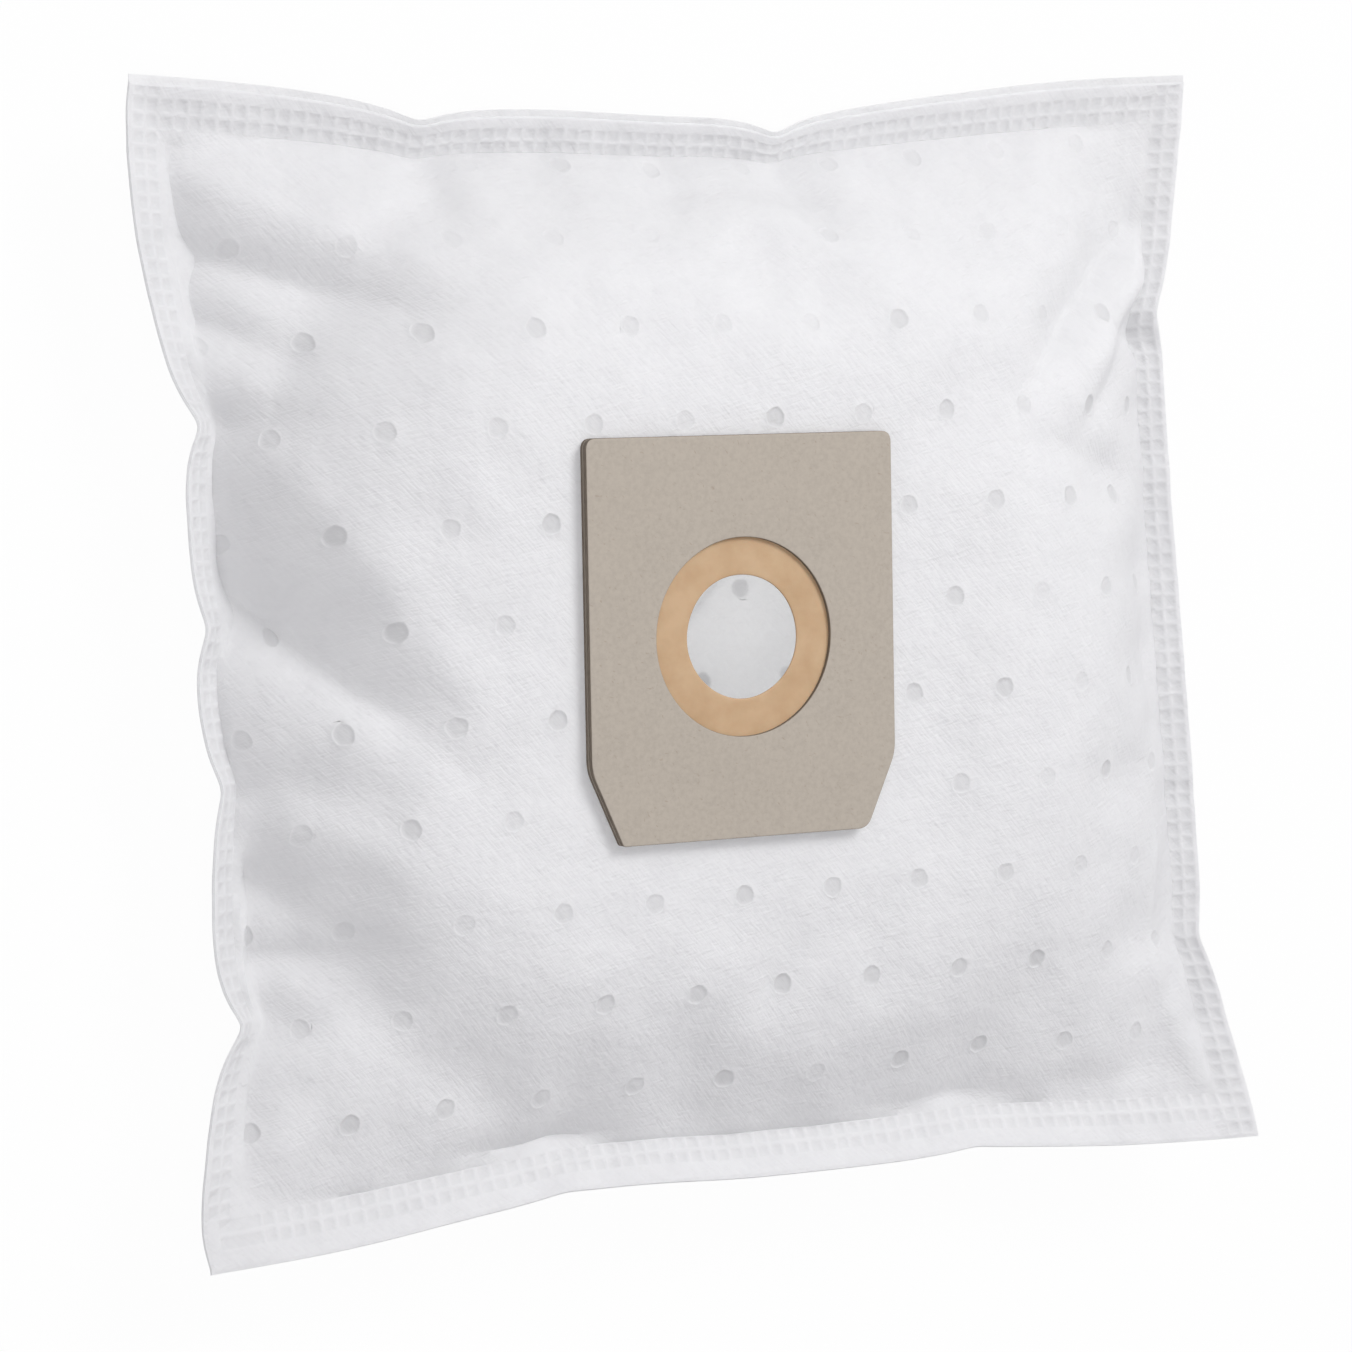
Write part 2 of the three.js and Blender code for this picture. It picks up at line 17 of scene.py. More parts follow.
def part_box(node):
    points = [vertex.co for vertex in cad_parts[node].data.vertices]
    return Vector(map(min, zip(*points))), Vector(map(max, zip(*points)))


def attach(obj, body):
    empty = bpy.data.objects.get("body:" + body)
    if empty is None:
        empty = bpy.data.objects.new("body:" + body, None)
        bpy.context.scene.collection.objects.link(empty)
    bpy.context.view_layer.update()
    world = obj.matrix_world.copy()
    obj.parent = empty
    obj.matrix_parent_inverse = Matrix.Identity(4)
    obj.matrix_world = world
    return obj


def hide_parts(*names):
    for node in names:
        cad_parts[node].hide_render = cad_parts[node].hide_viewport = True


bl_info = {
    "name": "Vacuum dust bag",
    "version": (1, 0, 0),
    "blender": (4, 5, 0),
    "location": "View3D > Sidebar > Dust bag",
    "description": "Makes the panels, collar and ring of a filled dust bag, and its stage",
    "category": "Object",
}

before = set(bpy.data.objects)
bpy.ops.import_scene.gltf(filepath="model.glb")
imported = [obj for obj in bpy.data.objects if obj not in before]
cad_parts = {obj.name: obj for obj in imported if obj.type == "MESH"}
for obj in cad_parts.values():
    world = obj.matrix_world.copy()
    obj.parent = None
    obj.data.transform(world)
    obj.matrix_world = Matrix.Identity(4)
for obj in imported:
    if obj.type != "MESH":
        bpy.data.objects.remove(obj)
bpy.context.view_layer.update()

MM = 0.001
SEED = 7

# Each side of the cut edge, in millimetres: how far it is drawn in at even stations from
# its low end to its high end, the power that this fades with, the power of the front
# dome's section towards it, and its tucks as place along the side, depth and reach
LEFT_EDGE = {
    "pull": (-4, 3, 7, 10, 8, 9, 6, 0, -2),
    "fade": 3,
    "roundness": 3.4,
    "tucks": ((-157, 4, 7), (-94, 9, 9), (-31, 4, 8), (12, 4.5, 8), (66, 7, 8), (157, 2, 7)),
}
RIGHT_EDGE = {
    "pull": (-2, 5, 9.5, 10, 10.5, 11, 10, 4.5, -0.5),
    "fade": 3.6,
    "roundness": 4.3,
    "tucks": ((-97, 4, 9), (88, 3, 8)),
}
BOTTOM_EDGE = {
    "pull": (-0.5, 1, 5, 7.5, 5.5, 4.5, 4, 0.5, -1.5),
    "fade": 2.9,
    "roundness": 2,
    "tucks": ((-59, 1.5, 12), (72, 1.5, 10)),
}
TOP_EDGE = {
    "pull": (-1.5, 1.5, 6.5, 8, 10, 9, 4.5, 0.5, -1),
    "fade": 3.6,
    "roundness": 3.7,
    "tucks": ((-81, 4, 9), (29, 5, 8)),
}
TUCK_ROUNDING = 3
TUCK_FADE = 8
TUCK_FURROW = {"depth": 3.5, "width": 9, "length": 40, "start": 7}

# Where the weld line of the right side is pinched down: the place along the side, the
# width and the drop in millimetres
RIGHT_PINCH = {"at": 82, "width": 6, "drop": 4}

# How far from the weld line its ripples die away, in millimetres
RIPPLE_FADE = 9

# Creases of the front panel in millimetres, as from, to, depth, and the widths on the left
# and the right of that run; a ridge is a crease of negative depth
CREASE_ROUNDING = 3
FRONT_CREASES = (
    ((-170, 142), (-62, 94), -3.5, 14, 7),
    ((-190, 128), (-66, 82), 9, 7, 12),
    ((-178, 108), (-118, 79), 8, 6, 9),
    ((-162, 100), (-76, -36), -4, 18, 9),
    ((-172, 44), (-84, -38), 12, 10, 6),
    ((-150, -14), (-122, -92), -3, 14, 6),
    ((-180, -38), (-100, -84), 8, 8, 10),
    ((-160, -24), (-82, -72), -3.5, 9, 9),
    ((-178, -75), (-104, -78), 6, 6, 7),
    ((-152, -84), (-138, -146), -2.5, 12, 6),
    ((-172, -152), (-50, -54), -3, 14, 14),
    ((-94, -138), (-34, -143), 6, 5, 4),
    ((26, -144), (99, -141), 4, 5, 4),
    ((176, 136), (62, 44), 10, 5, 11),
    ((176, 124), (104, 54), -7, 6, 6),
    ((156, 94), (102, 44), 5, 5, 7),
    ((70, 55), (150, 38), 5, 6, 8),
    ((-10, 122), (48, 76), 4, 8, 9),
    ((-12, 146), (60, 90), -3, 12, 8),
    ((-34, 128), (48, 128), 4, 7, 5),
)

# The short creases that run along the weld, which the imported model's panel doesn't have
WELD_CREASES = (
    ((-155, 158), (-151, 84), 4, 9, 3),
    ((-155, 90), (-153, -10), 4, 9, 3),
    ((-155, -52), (-151, -116), -2.5, 3, 3),
    ((-149, -60), (-151, -152), 5, 9, 3),
    ((143, -56), (140, -114), -2.5, 3, 3),
    ((137, -96), (156, -152), -2.5, 3, 3),
    ((147, 48), (146, -64), 2.5, 4, 7),
)

# Both groups with how far inside the weld line they reach their depth, in millimetres
CREASE_GROUPS = ((FRONT_CREASES, 6), (WELD_CREASES, 4))

# The cloth simulation: its frames and steps in a frame, and how near the collar or the
# table a point is held, in millimetres
CLOTH_FRAMES = 20
CLOTH_QUALITY = 6
HELD_BY_COLLAR = 3
HELD_BY_TABLE = 0.01

# How far apart the places are that a normal is worked out from, in millimetres
NORMAL_STEP = 0.8


def length(name, description, millimetres):
    """A length property, given in millimetres and kept in metres."""
    return FloatProperty(
        name=name,
        description=description,
        default=millimetres * MM,
        unit="LENGTH",
        precision=5,
    )


def plain_number(name, description, value, digits=3):
    """A property for a number without a unit."""
    return FloatProperty(name=name, description=description, default=value, precision=digits)


def colour(name, description, value):
    """A colour property, as linear red, green and blue."""
    return FloatVectorProperty(
        name=name,
        description=description,
        default=value,
        subtype="COLOR",
        min=0,
        max=1,
    )


class DustBagSheet(bpy.types.PropertyGroup):
    """Sizes of the welded sheets"""

    bag_width: length("Bag width", "Corner to corner across the filled bag", 330.7)
    bag_height: length("Bag height", "Corner to corner up the filled bag", 314.3)
    cut_width: length("Cut width", "Width of the flat sheet before it was filled", 338)
    cut_height: length("Cut height", "Height of the flat sheet before it was filled", 322)
    thickness: length("Sheet thickness", "Thickness of the laminate", 0.9)
    welded_thickness: length("Welded thickness", "Thickness of a sheet between the weld's squares", 0.65)
    cut_thickness: length("Cut thickness", "Thickness of the cut edge", 0.4)
    gap: length("Gap", "Space between the two sheets next to the weld", 0.3)
    welded_gap: length("Welded gap", "Space between the two sheets in the weld", 0.06)
    front_set_back: length("Front set-back", "How far the front sheet's top edge stops short", 2)
    weld_pitch: length("Weld pitch", "One embossed square with its rib", 4.25)
    weld_rows: IntProperty(name="Weld rows", description="Rows of embossed squares", default=2, min=1)
    square_depth: length("Square depth", "How deep the squares are pressed", 0.26)
    side_margin: length("Side margin", "Plain edge outside the weld at the sides", 1)
    end_margin: length("End margin", "Plain edge outside the weld at top and bottom", 5)
    cut_margin: length("Cut margin", "Plain edge outside the last square that fits", 0.8)
    spot_spacing: length("Spot spacing", "Distance between spots in a row", 28.1)
    spot_row_spacing: length("Spot row spacing", "Distance between rows of spots", 26.25)
    spot_diameter: length("Spot diameter", "Diameter of one bonded spot", 5.8)
    spot_depth: length("Spot depth", "How deep a spot is pressed", 0.28)
    inner_spot_depth: length("Inner spot depth", "How deep a spot is pressed from inside", 0.15)
    spot_rim: length("Spot rim", "How far the rim stands proud", 0.12)
    spot_column_start: length("First spot across", "Place of one spot across the sheet", -11.3)
    spot_row_start: length("First spot up", "Place of one row of spots", -18.1)
    back_spot_shift: FloatVectorProperty(
        name="Back spot shift",
        description="How far the back sheet's spots lie from the front sheet's",
        default=(-8 * MM, 5.7 * MM),
        size=2,
        unit="LENGTH",
    )


class DustBagFill(bpy.types.PropertyGroup):
    """How the bag is filled"""

    corner_rise: length("Corner rise", "Height of the cut corners above the table", 34)
    edge_sag: length("Edge sag", "How far the middle of each side hangs below the corners", 4)
    band_drop_left: length("Band drop left", "How far the weld line lies below the cut at the left", 7.6)
    band_drop_right: length("Band drop right", "How far the weld line lies below the cut at the right", 4.8)
    front_dome: length("Front dome", "How far the front panel rises from its weld", 36.5)
    dome_top: FloatVectorProperty(
        name="Dome top",
        description="Where the front panel is highest, across and up the sheet",
        default=(17.5 * MM, 7 * MM),
        size=2,
        unit="LENGTH",
    )
    back_depth: length("Back depth", "How far the back panel bulges down", 34)
    back_roundness: plain_number("Back roundness", "Power of the bulge's section", 3.6)
    lean: plain_number("Lean", "Slope of the bag up its height", 0.016)
    ripple: length("Ripple", "Height of the small ripples along the weld", 0.5)
    cloth_cell: length("Cloth cell", "Grid of the simulated sheet", 4)
    pressure: plain_number("Pressure", "Pressure of the air in the bag", 4)
    slack: plain_number("Slack", "Spare cloth in the simulated sheet", 0.01)
    collar_fade: length("Collar fade", "Where the puckers have faded in towards the collar", 40)
    stretch: plain_number("Stretch stiffness", "How hard the sheet resists stretching", 15)
    bending: plain_number("Bending stiffness", "How hard the sheet resists bending", 10)
    point_mass: plain_number("Point mass", "Mass of one simulated point", 0.001, digits=5)
    air_damping: plain_number("Air damping", "How much the air slows the sheet", 0.3)
    smoothing: IntProperty(
        name="Smoothing",
        description="Times the settled sheet is softened",
        default=1,
        min=0,
    )
    most_moved: length("Most moved", "The farthest that the simulation may move a point", 8)


class DustBagCollar(bpy.types.PropertyGroup):
    """Sizes and place of the collar"""

    width: length("Collar width", "Width of the cards", 95)
    height: length("Collar height", "Height of the cards", 110)
    chamfer_across: length("Chamfer across", "Width of a cut-off corner", 9.2)
    chamfer_up: length("Chamfer up", "Height of a cut-off corner", 20.7)
    corner_radius: length("Corner radius", "Radius of the rounded corners", 3)
    front_thickness: length("Front card thickness", "Thickness of the outer card", 1.9)
    backing_thickness: length("Backing thickness", "Thickness of the inner card", 1.3)
    glue_line: length("Glue line", "Space between glued pieces", 0.3)
    window: length("Window diameter", "Round window of the outer card", 54.4)
    inlet: length("Inlet diameter", "Hole of the sheet and the backing card", 50)
    ring_hole: length("Ring hole diameter", "Hole of the rubber ring", 34)
    ring_outer: length("Ring outer diameter", "Outside of the rubber ring", 62)
    ring_thickness: length("Ring thickness", "Thickness of the rubber ring", 0.7)
    across: length("Collar place across", "Middle of the collar across the bag", -11)
    up: length("Collar place up", "Middle of the collar up the bag", 0.9)
    rise: length("Collar rise", "Height of the collar's face above the cut corners", 31.7)
    tilt: FloatVectorProperty(
        name="Collar tilt",
        description="Turn of the collar about X, Y and Z",
        default=[math.radians(angle) for angle in (3.6, 1.4, -0.8)],
        subtype="EULER",
    )
    pad_border: length("Pad border", "Flat cloth round the collar", 7)
    pad_fade: length("Pad fade", "Where the pad has faded into the dome", 75)
    bevel: length("Card bevel", "Worn bevel of the cards' edges", 0.18)


class DustBagColours(bpy.types.PropertyGroup):
    """Colours, linear"""

    nonwoven: colour("Nonwoven", "White of the sheet", (0.95, 0.95, 0.955))
    nonwoven_shade: colour("Nonwoven shade", "Thin places of the sheet", (0.87, 0.87, 0.88))
    pressed: colour("Pressed", "Bonded spots, where the plies are pressed clear", (0.82, 0.82, 0.825))
    greyboard: colour("Greyboard", "Face of the cards", (0.425, 0.378, 0.322))
    greyboard_fleck: colour("Greyboard fleck", "Darker fibres of the cards", (0.22, 0.16, 0.11))
    # The cut edges' colour is far darker than the face: partly the board's own edge, partly painted shade
    cut_edge_and_shade: colour("Cut edge", "Cut edges of the cards", (0.13, 0.105, 0.08))
    latex: colour("Latex", "Rubber ring", (0.525, 0.36, 0.215))
    latex_shade: colour("Latex shade", "Darker clouds of the ring", (0.45, 0.29, 0.16))
    floor: colour("Floor", "Floor of the stage", (0.7, 0.7, 0.7))


def through(stations, t):
    """Smooth curve through evenly spaced stations, t from 0 to 1: each span is the cubic
    whose end slopes are half the step between the neighbouring stations."""
    stations = np.asarray(stations, float)
    last = len(stations) - 1
    x = np.clip(t, 0, 1) * last
    i = np.minimum(np.floor(x).astype(int), last - 1)
    f = x - i
    a, b, c, d = (stations[np.clip(i + k, 0, last)] for k in (-1, 0, 1, 2))
    slope0 = (c - a) / 2
    slope1 = (d - b) / 2
    square = 3 * (c - b) - 2 * slope0 - slope1
    cube = 2 * (b - c) + slope0 + slope1
    return b + f * slope0 + f**2 * square + f**3 * cube


def smooth_step(low, high, value):
    """0 below low, 1 above high, and the cubic 3t^2 - 2t^3 between."""
    t = np.clip((value - low) / (high - low), 0, 1)
    return t * t * (3 - 2 * t)


def drawn_in(edge, place, half_length, inwards):
    """How far an edge is drawn in, in metres: the smooth pull fades inwards with the
    edge's power, and the tucks, which are rounded spikes, with a higher one."""
    ramp = np.maximum(inwards, 0)
    pull = through(edge["pull"], (place / half_length + 1) / 2)
    tuck = 0
    for at, depth, reach in edge["tucks"]:
        away = np.hypot(place / MM - at, TUCK_ROUNDING) - TUCK_ROUNDING
        tuck = tuck + depth * np.exp(-away / reach)
    return (pull * ramp ** edge["fade"] + tuck * ramp**TUCK_FADE) * MM


def crease(line, p, q):
    """Depth of a crease: along it a parabola to the power of 1.5, deepest in the middle,
    and across it a rounded V whose sides fade with their own widths."""
    start, end, depth, left_width, right_width = line
    run = np.subtract(end, start)
    px = p / MM - start[0]
    py = q / MM - start[1]
    t = np.clip((px * run[0] + py * run[1]) / (run @ run), 0, 1)
    away = np.hypot(px - t * run[0], py - t * run[1])
    width = np.where(run[0] * py > run[1] * px, left_width, right_width)
    away = np.hypot(away, CREASE_ROUNDING) - CREASE_ROUNDING
    return (4 * t * (1 - t)) ** 1.5 * depth * MM * np.exp(-away / width)


def tuck_furrows(edge, place, inside):
    """Depth of the furrows that run inwards from an edge's tucks: a bell across each, and
    along it a quick rise from the weld and a slow fall. A tuck of 4 mm or more has the
    whole depth."""
    inside = np.maximum(inside, 0) / MM
    along = np.exp(-inside / TUCK_FURROW["length"]) * (1 - np.exp(-inside / TUCK_FURROW["start"]))
    total = 0
    for at, depth, _ in edge["tucks"]:
        across = np.exp(-(((place / MM - at) / TUCK_FURROW["width"]) ** 2))
        total = total + min(depth / 4, 1) * TUCK_FURROW["depth"] * MM * across
    return total * along


def one_sided(place, top, half):
    """0 at the top and 1 at either end of the span from -half to half."""
    below = (top - place) / (top + half)
    above = (place - top) / (half - top)
    return np.clip(np.where(place < top, below, above), 0, 1)


def waves(place, lengths, seed):
    """A sum of sines of the given wavelengths in metres, with phases from the seed, and
    between -1 and 1."""
    phases = np.random.default_rng(seed).uniform(0, 2 * math.pi, len(lengths))
    total = sum(
        np.sin(2 * math.pi * place / step + phase) for step, phase in zip(lengths, phases)
    )
    return total / len(lengths)


class BagForm:
    """Where each flat place of a panel goes on the filled bag. Every method takes whole
    arrays of p and q, in metres."""

    def __init__(self, scene):
        self.sheet = scene.dust_bag_sheet
        self.fill = scene.dust_bag_fill
        self.collar = scene.dust_bag_collar
        self.half_width = self.sheet.bag_width / 2
        self.half_height = self.sheet.bag_height / 2
        band = self.sheet.weld_rows * self.sheet.weld_pitch
        self.side_band = self.sheet.side_margin + band
        self.end_band = self.sheet.end_margin + band
        self.skin_offset = self.sheet.gap / 2 + self.sheet.thickness
        self.relief = {}
        self.place_collar()

    def place_collar(self):
        """The collar's own frame, its origin in the middle of the backing card's
        underside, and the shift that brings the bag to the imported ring."""
        collar = self.collar
        stack = collar.backing_thickness + collar.glue_line + collar.front_thickness
        turn = Euler(collar.tilt, "XYZ").to_matrix()
        self.normal = np.array(turn.col[2])
        top = np.array([collar.across, collar.up, self.fill.corner_rise + collar.rise])
        self.origin = top - stack * self.normal
        low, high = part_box("rubber_gasket")
        ring_height = collar.backing_thickness + collar.glue_line + collar.ring_thickness / 2
        self.shift = np.array((low + high) / 2) - (self.origin + ring_height * self.normal)
        self.collar_frame = Matrix.Translation(Vector(self.origin + self.shift)) @ turn.to_4x4()

    def pad_height(self, x, y):
        """Height of the cloth's middle under the plane that the collar is glued to."""
        across = self.normal[0] * (x - self.origin[0]) + self.normal[1] * (y - self.origin[1])
        return self.origin[2] - (across + self.collar.glue_line) / self.normal[2] - self.skin_offset

    def ripples(self, p, q, inside_side, inside_end):
        """Small ripples that cross the weld line: sums of sines along the sides and the
        ends, which die away exponentially on either side of it."""
        fade_side = np.exp(-np.abs(inside_side) / (RIPPLE_FADE * MM))
        fade_end = np.exp(-np.abs(inside_end) / (RIPPLE_FADE * MM))
        by_side = waves(q, (0.0113, 0.0171, 0.029), SEED) * fade_side
        by_end = waves(p, (0.0127, 0.0193, 0.033), SEED + 1) * fade_end
        return self.fill.ripple * (by_side + by_end)

    def drawn(self, p, q):
        """Where a flat place lies in plan once the four edges are drawn in."""
        s = p / self.half_width
        r = q / self.half_height
        x = p + drawn_in(LEFT_EDGE, q, self.half_height, -s)
        x = x - drawn_in(RIGHT_EDGE, q, self.half_height, s)
        y = q + drawn_in(BOTTOM_EDGE, p, self.half_width, -r)
        y = y - drawn_in(TOP_EDGE, p, self.half_width, r)
        return x, y

    def furrows(self, p, q):
        """Depth of the furrows from the tucks of all four edges."""
        reach_p = self.half_width - self.side_band
        reach_q = self.half_height - self.end_band
        return (
            tuck_furrows(LEFT_EDGE, q, reach_p + p)
            + tuck_furrows(RIGHT_EDGE, q, reach_p - p)
            + tuck_furrows(BOTTOM_EDGE, p, reach_q + q)
            + tuck_furrows(TOP_EDGE, p, reach_q - q)
        )

    def front_dome(self, p, q):
        """How far the front rises: the product of a flattened power each way, with a power
        of its own towards each edge."""
        top_p, top_q = self.fill.dome_top
        a = one_sided(p, top_p, self.half_width - self.side_band)
        b = one_sided(q, top_q, self.half_height - self.end_band)
        power_p = np.where(p < top_p, LEFT_EDGE["roundness"], RIGHT_EDGE["roundness"])
        power_q = np.where(q < top_q, BOTTOM_EDGE["roundness"], TOP_EDGE["roundness"])
        return self.fill.front_dome * (1 - a**power_p) * (1 - b**power_q)

    def back_bulge(self, p, q):
        """How far the back falls: the product of one flattened power each way."""
        a = np.minimum(np.abs(p) / (self.half_width - self.side_band), 1)
        b = np.minimum(np.abs(q) / (self.half_height - self.end_band), 1)
        power = self.fill.back_roundness
        return self.fill.back_depth * (1 - a**power) * (1 - b**power)

    def from_pad(self, x, y, inside):
        """0 on the flat pad round the collar, rising to 1 where it has faded away."""
        collar = self.collar
        out_x = np.maximum(np.abs(x - collar.across) - collar.width / 2, 0)
        out_y = np.maximum(np.abs(y - collar.up) - collar.height / 2, 0)
        free = smooth_step(collar.pad_border, collar.pad_fade, np.hypot(out_x, out_y))
        return np.where(inside > 0, free, 1)

    def middle(self, side, p, q, folded=True):
        """The middle surface of a panel. Both panels share the weld band, which falls evenly
        from the cut to the weld line. Inside it the front rises by the dome less its
        creases and blends into the collar's plane, and the back falls by the bulge and
        stops at the table."""
        fill = self.fill
        s = p / self.half_width
        r = q / self.half_height
        x, y = self.drawn(p, q)
        inside_side = self.half_width - np.abs(p) - self.side_band
        inside_end = self.half_height - np.abs(q) - self.end_band
        from_side = np.minimum(inside_side, 0) + self.side_band
        from_end = np.minimum(inside_end, 0) + self.end_band
        edge_fade = 1 - s**4 * r**4
        drop = fill.band_drop_left + (fill.band_drop_right - fill.band_drop_left) * (s + 1) / 2
        away = (q / MM - RIGHT_PINCH["at"]) / RIGHT_PINCH["width"]
        pinch = RIGHT_PINCH["drop"] * MM * np.exp(-(away**2))
        drop = drop + pinch * smooth_step(0.75, 0.95, s)
        tipped = drop * np.minimum(from_side / self.side_band, from_end / self.end_band) * edge_fade
        z = fill.corner_rise - fill.lean * q - fill.edge_sag * edge_fade - tipped
        inside = np.maximum(np.minimum(inside_side, inside_end), 0)
        furrows = 0
        if folded:
            z = z + self.ripples(p, q, inside_side, inside_end)
            furrows = self.furrows(p, q) * (inside > 0)
        if side == "front":
            folds = 0
            if folded:
                for lines, fade in CREASE_GROUPS:
                    depth = sum(crease(line, p, q) for line in lines)
                    folds = folds + depth * smooth_step(0, fade * MM, inside)
            free = self.from_pad(x, y, inside)
            raised = z + self.front_dome(p, q) - folds - furrows
            z = raised * free + self.pad_height(x, y) * (1 - free)
        else:
            z = np.maximum(z - self.back_bulge(p, q) + furrows, self.skin_offset)
        place = np.stack([x, y, z], axis=-1)
        if folded and side in self.relief:
            place = place + self.relief_at(side, p, q)
        if side == "back":
            place[..., 2] = np.maximum(place[..., 2], self.skin_offset)
        return place

    def relief_at(self, side, p, q):
        """What the simulation moved each place by, read from its grid with a smooth
        cubic in each direction."""
        lines_p, lines_q, moved = self.relief[side]
        cells = []
        for value, lines in ((p, lines_p), (q, lines_q)):
            x = np.clip((value - lines[0]) / (lines[1] - lines[0]), 0, len(lines) - 1.001)
            whole = np.floor(x).astype(int)
            cells.append((whole, x - whole, len(lines) - 1))
        total = 0
        for di in range(-1, 3):
            for dj in range(-1, 3):
                i = np.clip(cells[0][0] + di, 0, cells[0][2])
                j = np.clip(cells[1][0] + dj, 0, cells[1][2])
                weight = spline_weight(cells[0][1] - di) * spline_weight(cells[1][1] - dj)
                total = total + weight[..., None] * moved[i, j]
        return total

    def skin(self, side, p, q, offset):
        """A place on one skin: the middle moved by offset along the normal, which is the
        cross product of the two central differences."""
        step = NORMAL_STEP * MM
        across = self.middle(side, p + step, q) - self.middle(side, p - step, q)
        up = self.middle(side, p, q + step) - self.middle(side, p, q - step)
        normal = np.cross(across, up)
        normal /= np.linalg.norm(normal, axis=-1, keepdims=True)
        sign = 1 if side == "front" else -1
        return self.middle(side, p, q) + sign * np.asarray(offset)[..., None] * normal + self.shift


def spline_weight(distance):
    """Weight of the cubic spline through neighbours: the Catmull-Rom kernel."""
    d = np.abs(distance)
    near = 1.5 * d**3 - 2.5 * d**2 + 1
    far = -0.5 * d**3 + 2.5 * d**2 - 4 * d + 2
    return np.where(d < 1, near, np.where(d < 2, far, 0))


# Where the fine lines stand in a weld cell, from rib to rib, and how many lines of the fine
# grid make one step of the coarse one and of the plain margin
SQUARE_STEPS = (0, 0.08, 0.2, 0.5, 0.8, 0.92)
STEPS = len(SQUARE_STEPS)
COARSE = STEPS // 2
MARGIN_STEPS = COARSE

# How many cells from the low left corner each of the end's rows runs on as a bar
BAR_CELLS = 3

# The rings of points of a spot: their radii as shares of its own, how far each is sunk or
# raised, as shares of the rim and the depth, and how strongly each is bonded
SPOT_RADII = (1.14, 1.05, 0.97, 0.86, 0.5)
SPOT_RIM = (0, 1, 0.6, 0, 0)
SPOT_SUNK = (0, 0, 0, 1, 1)
SPOT_BOND = (0, 0.1, 0.5, 1, 1)
SPOT_UNEVEN = 0.035
SPOT_CELLS = 4
SPOT_STRENGTH = (0.35, 0.9)
SPOT_FADE = {"from": 60, "to": 120, "loss": 0.5}


class SheetLines:
    """The flat lines across a sheet in one direction: a plain cut margin, weld cells each
    cut at its ribs and at the edges of its square, and the other margin. outside is how
    many cells lie outside the weld line."""

    def __init__(self, half, margin, pitch, outside, set_back=0):
        self.cells = round((2 * half - 2 * margin) / pitch)
        pitch = (2 * half - 2 * margin) / self.cells
        steps = (np.arange(self.cells)[:, None] + np.array(SQUARE_STEPS)).ravel()
        low = np.linspace(-margin / pitch, 0, MARGIN_STEPS, endpoint=False)
        high = np.linspace(self.cells, self.cells + margin / pitch, MARGIN_STEPS + 1)
        turns = np.concatenate([low, steps, high])
        share = np.abs(turns % 1 - 0.5) * 2
        inside = (turns > 0) & (turns < self.cells)
        self.press = np.where(inside, 1 - smooth_step(0.62, 0.82, share), 0)
        self.cell = np.clip(np.floor(turns).astype(int), 0, self.cells - 1)
        self.flat = margin - half + turns * pitch
        last_cell = half - margin - pitch
        squeeze = (half - set_back - last_cell) / (half - last_cell)
        beyond = self.flat > last_cell
        self.flat[beyond] = last_cell + (self.flat[beyond] - last_cell) * squeeze
        self.first = MARGIN_STEPS + outside * STEPS
        self.last = len(self.flat) - 1 - self.first
        edge = np.arange(len(self.flat))
        self.from_cut = np.minimum(edge, edge[::-1]) / MARGIN_STEPS


def block_loop(low_i, high_i, low_j, high_j, step):
    """The index pairs round a block of the grid, anticlockwise, every step lines."""
    along = np.arange(low_i, high_i, step)
    up = np.arange(low_j, high_j, step)
    return np.concatenate(
        [
            np.stack([along, np.full_like(along, low_j)], 1),
            np.stack([np.full_like(up, high_i), up], 1),
            np.stack([high_i + low_i - along, np.full_like(along, high_j)], 1),
            np.stack([np.full_like(up, low_i), high_j + low_j - up], 1),
        ]
    )


def band_of(outer, inner):
    """Quads between two loops of as many points."""
    return np.stack([outer, np.roll(outer, -1), np.roll(inner, -1), inner], axis=1)


def fan_of(outer, inner, ratio):
    """Triangles between a fine loop and a coarse one with ratio times fewer points, both
    starting at the same corner."""
    near = np.repeat(np.arange(len(inner)), ratio)
    step = np.tile(np.arange(ratio), len(inner))
    near = np.where(step >= (ratio + 1) // 2, near + 1, near) % len(inner)
    fine = np.stack([outer, np.roll(outer, -1), inner[near]], axis=1)
    middle = outer[np.arange(len(inner)) * ratio + (ratio + 1) // 2]
    coarse = np.stack([middle, np.roll(inner, -1), inner], axis=1)
    return np.concatenate([fine, coarse])


